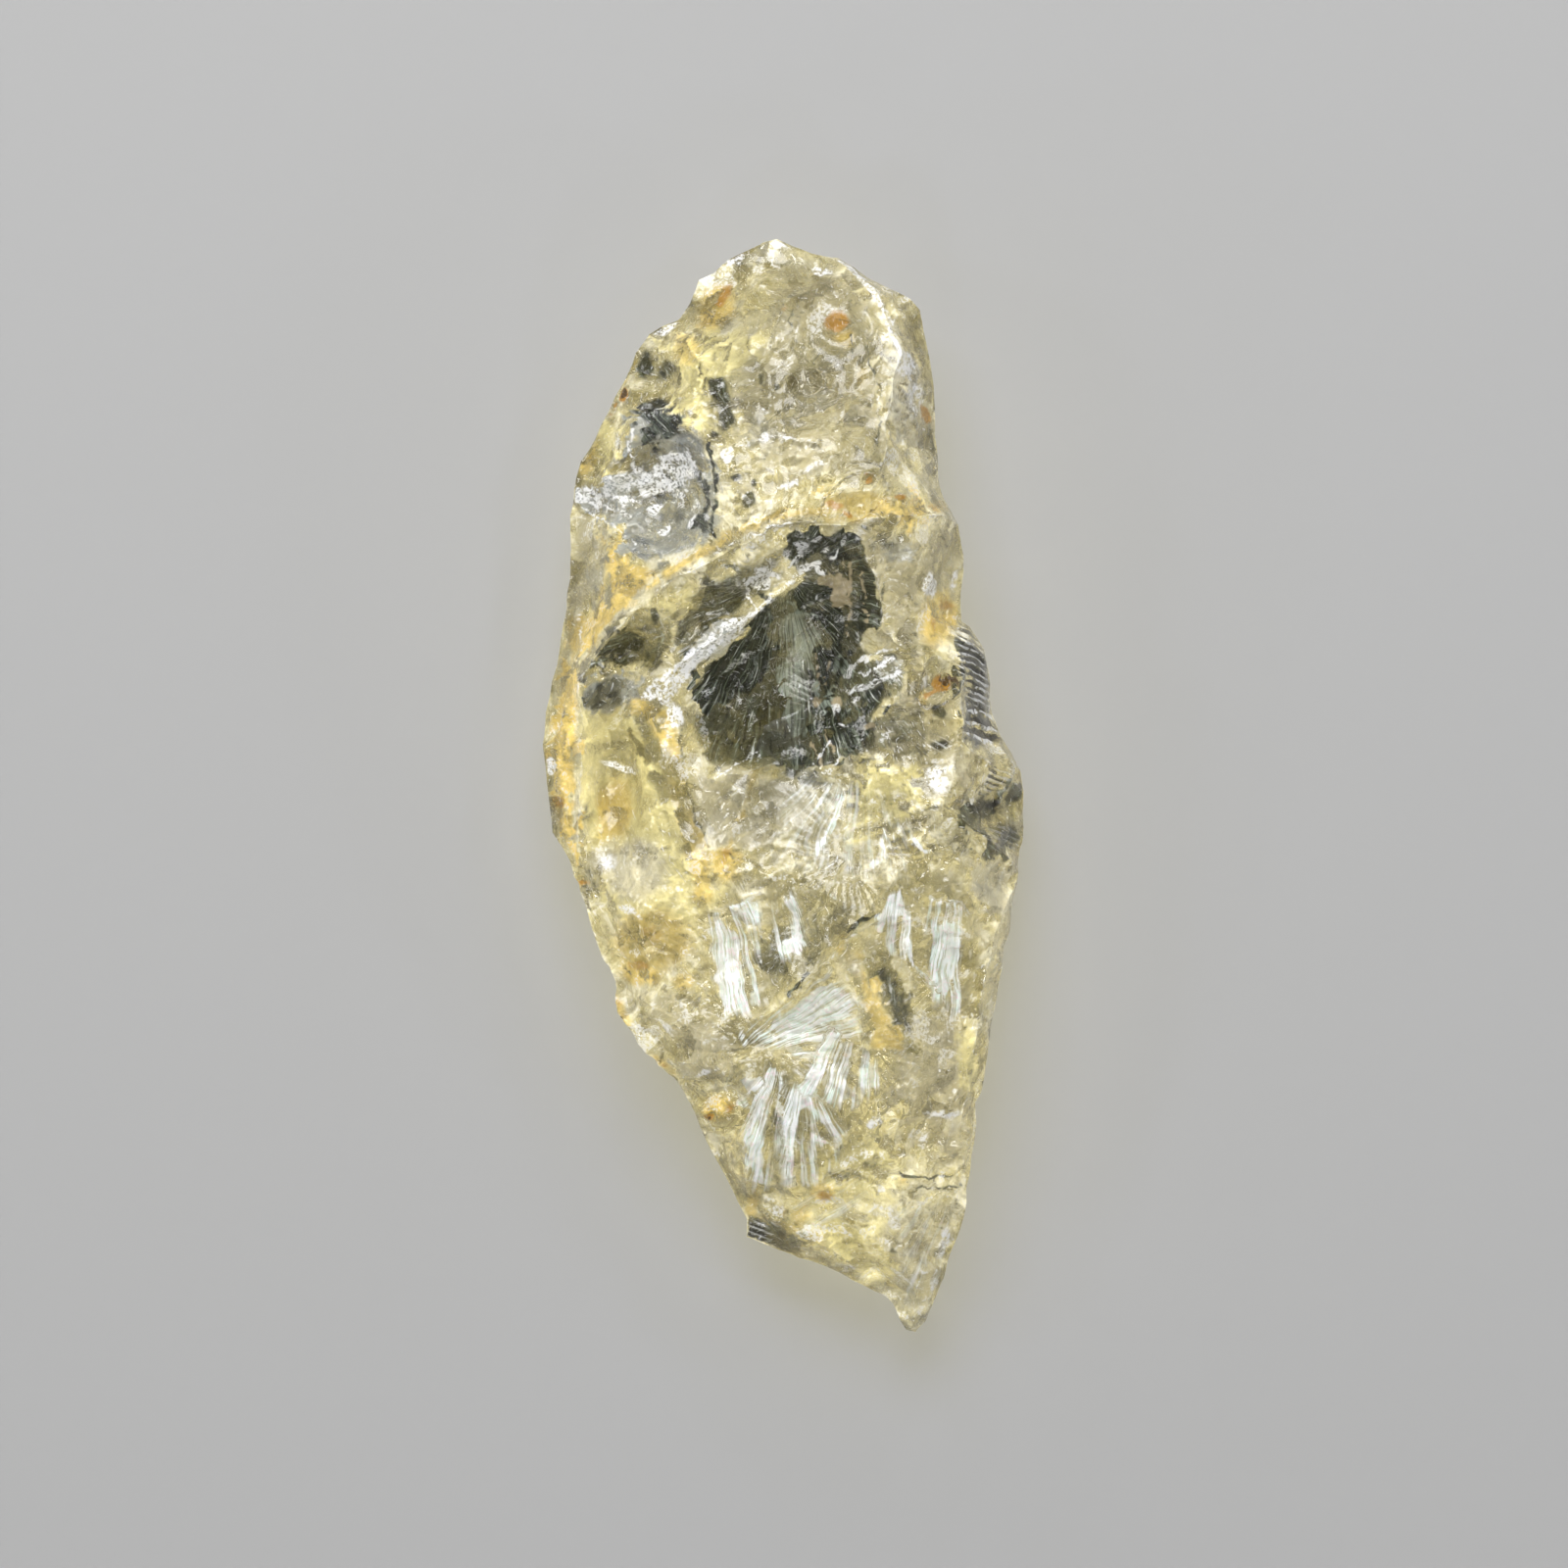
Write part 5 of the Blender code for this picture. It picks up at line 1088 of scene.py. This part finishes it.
def makeGroup(name, inputs, outputs):
    # inputs: each one's number to start from, or None for a place
    group = bpy.data.node_groups.new(name, "ShaderNodeTree")
    for socketName, value in inputs.items():
        kind = "NodeSocketVector" if value is None else "NodeSocketFloat"
        socket = group.interface.new_socket(socketName, in_out="INPUT", socket_type=kind)
        if value is not None:
            socket.default_value = value
    for socketName in outputs:
        group.interface.new_socket(socketName, in_out="OUTPUT", socket_type="NodeSocketFloat")
    start = group.nodes.new("NodeGroupInput")
    end = group.nodes.new("NodeGroupOutput")
    return group, Wiring(group), start.outputs, end.inputs


def stepsGroup():
    # Parallel growth steps: thin dark and light lines across one direction
    start = {"Place": None, "Turn": 0.0, "Pitch": 0.6}
    group, wire, given, out = makeGroup("growthSteps", start, ("Dark", "Light"))
    split = wire.add("ShaderNodeSeparateXYZ")
    wire.plug(given["Place"], split.inputs[0])
    across = wire.maths("MULTIPLY", split.outputs[0], wire.maths("SINE", given["Turn"]))
    across = wire.maths("MULTIPLY_ADD", split.outputs[1], wire.maths("COSINE", given["Turn"]), across)
    bend, breaks, uneven = [wire.cloud(given["Place"], *stepLines[name])
                            for name in ("bend", "breaks", "uneven")]
    across = wire.maths("MULTIPLY_ADD", bend, stepLines["bendAmount"], across)
    wave = wire.maths("FRACT", wire.maths("DIVIDE", across, given["Pitch"]))
    uneven = wire.maths("SUBTRACT", uneven, 0.5)
    wave = wire.maths("MULTIPLY_ADD", uneven, stepLines["unevenAmount"], wave)
    for name in ("Dark", "Light"):
        stripe = wire.span(wave, *stepLines["wave" + name])
        shown = wire.span(breaks, *stepLines["breaks" + name])
        wire.plug(wire.maths("MULTIPLY", stripe, shown), out[name])
    return group


def fibresGroup():
    # Fine streaks that run along one direction
    start = {"Place": None, "Sway": 0.5, "Turn": 0.0, "Width": 0.25, "Length": 4.0}
    group, wire, given, out = makeGroup("fineFibres", start, ("Streak",))
    split = wire.add("ShaderNodeSeparateXYZ")
    wire.plug(given["Place"], split.inputs[0])
    turn = wire.maths("MULTIPLY_ADD", given["Sway"], skinAmounts["sway"], given["Turn"])
    cosine, sine = wire.maths("COSINE", turn), wire.maths("SINE", turn)
    along = wire.maths("MULTIPLY_ADD", split.outputs[0], cosine,
                       wire.maths("MULTIPLY", split.outputs[1], sine))
    across = wire.maths("SUBTRACT", wire.maths("MULTIPLY", split.outputs[1], cosine),
                        wire.maths("MULTIPLY", split.outputs[0], sine))
    stretched = wire.add("ShaderNodeCombineXYZ")
    wire.plug(wire.maths("DIVIDE", along, given["Length"]), stretched.inputs[0])
    wire.plug(wire.maths("DIVIDE", across, given["Width"]), stretched.inputs[1])
    wire.plug(wire.cloud(stretched.outputs[0], *skinClouds["strand"]), out["Streak"])
    return group


def raggedGroup():
    # A soft mask whose edge is torn by a noise
    start = {"Mask": 0.0, "Noise": 0.5, "Tear": 1.0, "Soft": 0.2}
    group, wire, given, out = makeGroup("raggedMask", start, ("Mask",))
    swing = wire.maths("MULTIPLY", wire.maths("SUBTRACT", given["Noise"], 0.5), given["Tear"])
    worn = wire.maths("ADD", given["Mask"], swing)
    low = wire.maths("SUBTRACT", 0.5, given["Soft"])
    high = wire.maths("ADD", 0.5, given["Soft"])
    inside = wire.span(given["Mask"], *skinRanges["insideMask"])
    wire.plug(wire.maths("MULTIPLY", wire.span(worn, low, high), inside), out["Mask"])
    return group


def quartzMaterial():
    finish, amounts = quartzFinish, skinAmounts
    material = bpy.data.materials.new("roughQuartz")
    material.use_nodes = True
    wire = Wiring(material.node_tree)
    shader = material.node_tree.nodes["Principled BSDF"]
    place = wire.scaled(wire.add("ShaderNodeTexCoord").outputs["Object"], 1.0 / mm)
    steps, fibres, ragged = stepsGroup(), fibresGroup(), raggedGroup()

    def both(a, b):
        return wire.maths("MULTIPLY", a, b)

    def sumOf(a, share, b):
        return wire.maths("MULTIPLY_ADD", a, share, b)

    def grade(name, value):
        return wire.span(value, *skinRanges[name])

    def streaks(name):
        return wire.group(fibres, Place=place, Sway=sway, **skinStreaks[name]).outputs["Streak"]

    broad, middle, fine, grain, sway = [wire.cloud(place, *skinClouds[name])
                                        for name in ("broad", "middle", "fine", "grain", "sway")]
    quiet = wire.maths("MAXIMUM", wire.mask("glassy"), both(wire.mask("calm"), amounts["calm"]))
    sugar = wire.maths("SUBTRACT", 1.0, quiet)
    facet = sumOf(wire.mask("hue"), amounts["facetSpread"], amounts["facetStart"])
    fibre = wire.add("ShaderNodeMix", data_type="FLOAT")
    for value, socket in zip((grade("uprightFibres", broad), streaks("leaning"), streaks("upright")),
                             (fibre.inputs["Factor"], fibre.inputs[2], fibre.inputs[3])):
        wire.plug(value, socket)
    fibre = fibre.outputs[0]

    strandPlace = wire.add("ShaderNodeCombineXYZ")
    wire.plug(wire.maths("DIVIDE", wire.mask("across"), finish["strandWidth"]), strandPlace.inputs[0])
    wire.plug(wire.maths("DIVIDE", wire.mask("along"), finish["strandLength"]), strandPlace.inputs[1])
    strand = wire.cloud(strandPlace.outputs[0], *skinClouds["strand"])
    swathe = wire.cloud(strandPlace.outputs[0], *skinClouds["swathe"])
    pearl = wire.blend(grade("greenVeil", middle), finish["veil"], finish["veilGreen"])
    pearl = wire.blend(grade("pinkVeil", fine), pearl, finish["veilPink"])
    pearl = wire.blend(grade("whiteStrand", strand), pearl, finish["frostAndGlint"])
    pearl = wire.blend(grade("strandGap", strand), pearl, finish["strandGap"])

    tone = sumOf(middle, amounts["middleMottle"], both(broad, amounts["broadMottle"]))
    tone = sumOf(facet, amounts["facetMottle"], tone)
    colour = wire.blend(grade("straw", tone), finish["olive"], finish["straw"])
    colour = wire.blend(grade("pale", tone), colour, finish["pale"])
    skin = wire.span(tone, *skinRanges["thickSkin"], finish["skinThin"], finish["skinThick"])
    stain = wire.blend(amounts["stain"], finish["clear"], colour)

    def lay(amount, tone, cover, strength=amounts["strength"], soak=amounts["soak"]):
        # Put a tone over the colour where the amount says so, pull the skin towards its cover
        # and stain the glass
        nonlocal colour, skin, stain
        colour = wire.blend(both(amount, strength), colour, tone)
        stain = wire.blend(both(amount, soak), stain, tone)
        skin = sumOf(amount, wire.maths("SUBTRACT", cover, skin), skin)

    def torn(name, tone):
        flaky = tone.get("flaky", amounts["flaky"])  # share of the flakes in how the edge is torn
        noise = fine if tone["cover"] > amounts["fineCover"] else middle
        noise = sumOf(noise, 1.0 - flaky, both(facet, flaky))
        edge = {"Tear": tone["tear"], "Soft": tone["soft"]}
        return wire.group(ragged, Mask=wire.mask(name), Noise=noise, **edge).outputs["Mask"]

    def flakeLightAndShade():
        # Painted light and shade: every flake its own brightness, with painted dark reflections (ink) in
        # the darkest and painted glints (white) in the brightest
        nonlocal colour
        swing = sumOf(sugar, amounts["sugarSwing"], amounts["plainSwing"])
        rough = sumOf(fibre, amounts["fibreLight"], both(wire.mask("shade"), amounts["flakeLight"]))
        rough = sumOf(fine, amounts["fineLight"], rough)
        rough = sumOf(wire.maths("SUBTRACT", grain, 0.5), both(swing, amounts["grainLight"]), rough)
        light = sumOf(wire.maths("SUBTRACT", grade("flakeLight", rough), 1.0), swing, 1.0)
        # painted light on ridges, painted shade in valleys
        light = both(light, grade("reliefShadeLight", wire.mask("paintedReliefShade")))
        # painted shade by slope
        light = both(light, grade("slopeShadeLight", wire.mask("paintedSlopeShade")))
        grey = wire.add("ShaderNodeCombineColor")
        for socket in grey.inputs[:3]:
            wire.plug(light, socket)
        colour = wire.blend(1.0, colour, grey.outputs[0], "MULTIPLY")
        # painted glints
        white = both(both(grade("glintFlakes", rough), grade("glintGrain", grain)), swing)
        lay(white, finish["frostAndGlint"], strength=0.85, cover=0.75)
        # painted dark reflections
        dusky = sumOf(sugar, amounts["sugarDarkReflection"], amounts["plainDarkReflection"])
        dark = both(both(grade("darkReflectionFlakes", rough), grade("darkReflectionGrain", grain)), dusky)
        lay(dark, finish["ink"], strength=0.8, cover=0.5)

    def silk():
        # The veils: torn into strands, solid in their middles
        solid = grade("solidVeil", wire.mask("veil"))
        silky = both(grade("veilSwathe", swathe), grade("veilStrand", strand))
        shred = wire.group(ragged, Mask=wire.mask("veil"), Noise=swathe, Tear=finish["veilTear"],
                           Soft=finish["veilSoft"]).outputs["Mask"]
        lay(both(shred, wire.maths("MAXIMUM", solid, silky)), pearl, cover=0.88)

    hollow = wire.maths("MAXIMUM", wire.mask("deep"), wire.mask("moss"))
    for name, tone in tones.items():
        if name == "rust":
            silk()
        mask = torn(name, tone)
        if name == "frostAndGlint":
            mask = both(mask, grade("frostGrain", sumOf(grain, 0.5, both(fine, 0.5))))
            flakeLightAndShade()
        if name == "panel":
            mask = both(mask, grade("panelStrand", strand))
        lay(mask, tone["colour"], cover=tone["cover"], soak=tone.get("soak", amounts["soak"]))
        if name == "deep":
            lay(both(grade("hollowGlow", strand), hollow), finish["fan"], strength=0.34, cover=0.65)
            # painted silver highlights on the hollow's streaks
            lay(both(grade("hollowGlint", strand), hollow), finish["frostAndGlint"], strength=0.7, cover=0.8)
            lay(both(grade("hollowInk", strand), hollow), finish["ink"],
                strength=0.85, cover=0.8, soak=0.8)
    for name, face in steppedFaces.items():
        lines = wire.group(steps, Place=place, Turn=face["turn"], Pitch=face["pitch"])
        dark, light = [both(lines.outputs[shade], wire.mask(name)) for shade in ("Dark", "Light")]
        lay(dark, finish["ink"], strength=1.0, cover=0.9, soak=0.6)
        lay(light, finish["frostAndGlint"], strength=face["white"], cover=0.95)
    # painted glints along the ridges
    lay(both(wire.mask("paintedRidgeGlint"), grade("ridgeGlintWhite", fine)), finish["frostAndGlint"], strength=0.65, cover=0.7)
    # Painted glints and painted dark reflections: fine white and dark strokes, more on the broken skin
    busy = sumOf(sugar, amounts["sugarStrokes"], amounts["plainStrokes"])
    inked = sumOf(sugar, amounts["sugarStrokeInk"], amounts["plainStrokeInk"])
    for stroke, patch in ((streaks("strokeLean"), grade("leanPatch", fine)),
                          (streaks("strokeUp"), grade("uprightPatch", fine))):
        white = both(both(grade("glintStroke", stroke), patch), busy)
        dark = both(both(grade("darkReflectionStroke", stroke), patch), inked)
        lay(white, finish["frostAndGlint"], strength=0.85, cover=0.8)
        lay(dark, finish["ink"], strength=0.7, cover=0.5)

    wire.plug(colour, shader.inputs["Base Color"])
    polish = wire.span(hollow, *skinRanges["hollowPolish"], 1.0, finish["hollowPolish"])
    wire.plug(both(grade("roughness", fine), polish), shader.inputs["Roughness"])
    shader.inputs["IOR"].default_value = finish["ior"]
    height = sumOf(strand, both(wire.mask("veil"), finish["strandHeight"]), fine)
    bump = wire.add("ShaderNodeBump")
    bump.inputs["Strength"].default_value = finish["bumpStrength"]
    bump.inputs["Distance"].default_value = finish["bumpDepth"]
    wire.plug(height, bump.inputs["Height"])
    wire.plug(bump.outputs["Normal"], shader.inputs["Normal"])

    glass = wire.add("ShaderNodeBsdfPrincipled")
    wire.plug(stain, glass.inputs["Base Color"])
    glass.inputs["Roughness"].default_value = finish["clearRoughness"]
    glass.inputs["Transmission Weight"].default_value = finish["transmission"]
    glass.inputs["IOR"].default_value = finish["ior"]
    shadow = wire.add("ShaderNodeBsdfTransparent")
    shadow.inputs["Color"].default_value = (*finish["shadow"], 1.0)
    absorb = wire.add("ShaderNodeVolumeAbsorption")
    absorb.inputs["Color"].default_value = (*finish["absorption"], 1.0)
    absorb.inputs["Density"].default_value = finish["density"]

    body = wire.mixed(skin, glass.outputs[0], shader.outputs[0])
    shadowRay = wire.add("ShaderNodeLightPath").outputs["Is Shadow Ray"]
    surface = wire.mixed(shadowRay, body, shadow.outputs[0])
    output = next(n for n in material.node_tree.nodes if n.type == "OUTPUT_MATERIAL")
    wire.plug(surface, output.inputs["Surface"])
    wire.plug(absorb.outputs[0], output.inputs["Volume"])
    return material


def thinFlat(piece):
    # The flat faces, most of them on the hidden underside, need fewer points
    pickOnly(piece)
    thin = piece.modifiers.new("thin", "DECIMATE")
    thin.ratio = stoneShape["keptFaces"]
    bpy.ops.object.modifier_apply(modifier=thin.name)
    print("stone:", len(piece.data.polygons), "faces kept")


def makeStone():
    piece = copyStone()
    shapeStone(piece)
    thinFlat(piece)
    piece.data.materials.clear()
    piece.data.materials.append(quartzMaterial())
    pickOnly(piece)
    bpy.ops.object.shade_smooth_by_angle(angle=math.radians(stoneShape["smoothAngle"]))
    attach(piece, "root")
    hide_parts("quartz_crystal")


def makeFloor():
    bpy.ops.object.select_all(action="DESELECT")
    bpy.ops.mesh.primitive_plane_add(size=studio["floorSize"])
    floor = bpy.context.active_object
    floor.name = "studio_floor"
    material = bpy.data.materials.new("paleFloor")
    material.use_nodes = True
    shader = material.node_tree.nodes["Principled BSDF"]
    shader.inputs["Base Color"].default_value = (*studio["floorColour"], 1.0)
    shader.inputs["Roughness"].default_value = studio["floorRoughness"]
    floor.data.materials.append(material)


def addLamp(name, place, size, power):
    data = bpy.data.lights.new(name, "AREA")
    data.size = size
    data.energy = power
    lamp = bpy.data.objects.new(name, data)
    bpy.context.scene.collection.objects.link(lamp)
    lamp.location = place
    toStone = Vector(studio["lampAim"]) - Vector(place)
    lamp.rotation_euler = toStone.to_track_quat("-Z", "Y").to_euler()


def makeStudio():
    scene = bpy.context.scene
    world = bpy.data.worlds.new("studioWorld")
    world.use_nodes = True
    wire = Wiring(world.node_tree)
    sky = wire.add("ShaderNodeTexCoord").outputs["Generated"]
    panels = wire.add("ShaderNodeTexVoronoi", feature="F1")
    wire.plug(sky, panels.inputs["Vector"])
    panels.inputs["Scale"].default_value = studio["panelScale"]
    glow = wire.span(panels.outputs["Distance"], studio["panelSize"],
                     studio["panelSize"] * studio["panelEdge"], studio["world"], studio["panelLight"])
    split = wire.add("ShaderNodeSeparateXYZ")
    wire.plug(sky, split.inputs[0])
    card = wire.span(split.outputs[2], studio["cardStart"], studio["cardFull"], 1.0, studio["cardLight"])
    background = world.node_tree.nodes["Background"]
    wire.plug(wire.maths("MULTIPLY", glow, card), background.inputs["Strength"])
    background.inputs["Color"].default_value = (1.0, 1.0, 1.0, 1.0)
    scene.world = world
    addLamp("keyLamp", studio["keyPlace"], studio["keySize"], studio["keyPower"])
    leanStart, leanStep = studio["glintLean"]
    for i in range(studio["glintLamps"]):
        turn = 2 * math.pi * (i + studio["glintStart"]) / studio["glintLamps"]
        lean = math.radians(leanStart + leanStep * (i % 3))
        flat = studio["glintAway"] * math.sin(lean)
        place = (flat * math.cos(turn), flat * math.sin(turn), studio["glintAway"] * math.cos(lean))
        addLamp(f"glintLamp{i}", place, studio["glintSize"], studio["glintPower"])
    scene.view_settings.view_transform = "Standard"
    scene.cycles.max_bounces = studio["bounces"]
    scene.cycles.transmission_bounces = studio["bounces"]
    scene.cycles.diffuse_bounces = studio["diffuseBounces"]
    scene.cycles.glossy_bounces = studio["glossyBounces"]


def makeCamera():
    data = bpy.data.cameras.new("camera")
    distance = studio["cameraHeight"] - studio["middle"]
    data.sensor_width = studio["sensor"]
    data.lens = data.sensor_width * distance / studio["frameWidth"]
    data.clip_end = studio["farthest"]
    camera = bpy.data.objects.new("camera", data)
    bpy.context.scene.collection.objects.link(camera)
    camera.location = (0.0, 0.0, studio["cameraHeight"])
    bpy.context.scene.camera = camera


print("making the stone")
makeStone()
print("making floor, light and camera")
makeFloor()
makeStudio()
makeCamera()
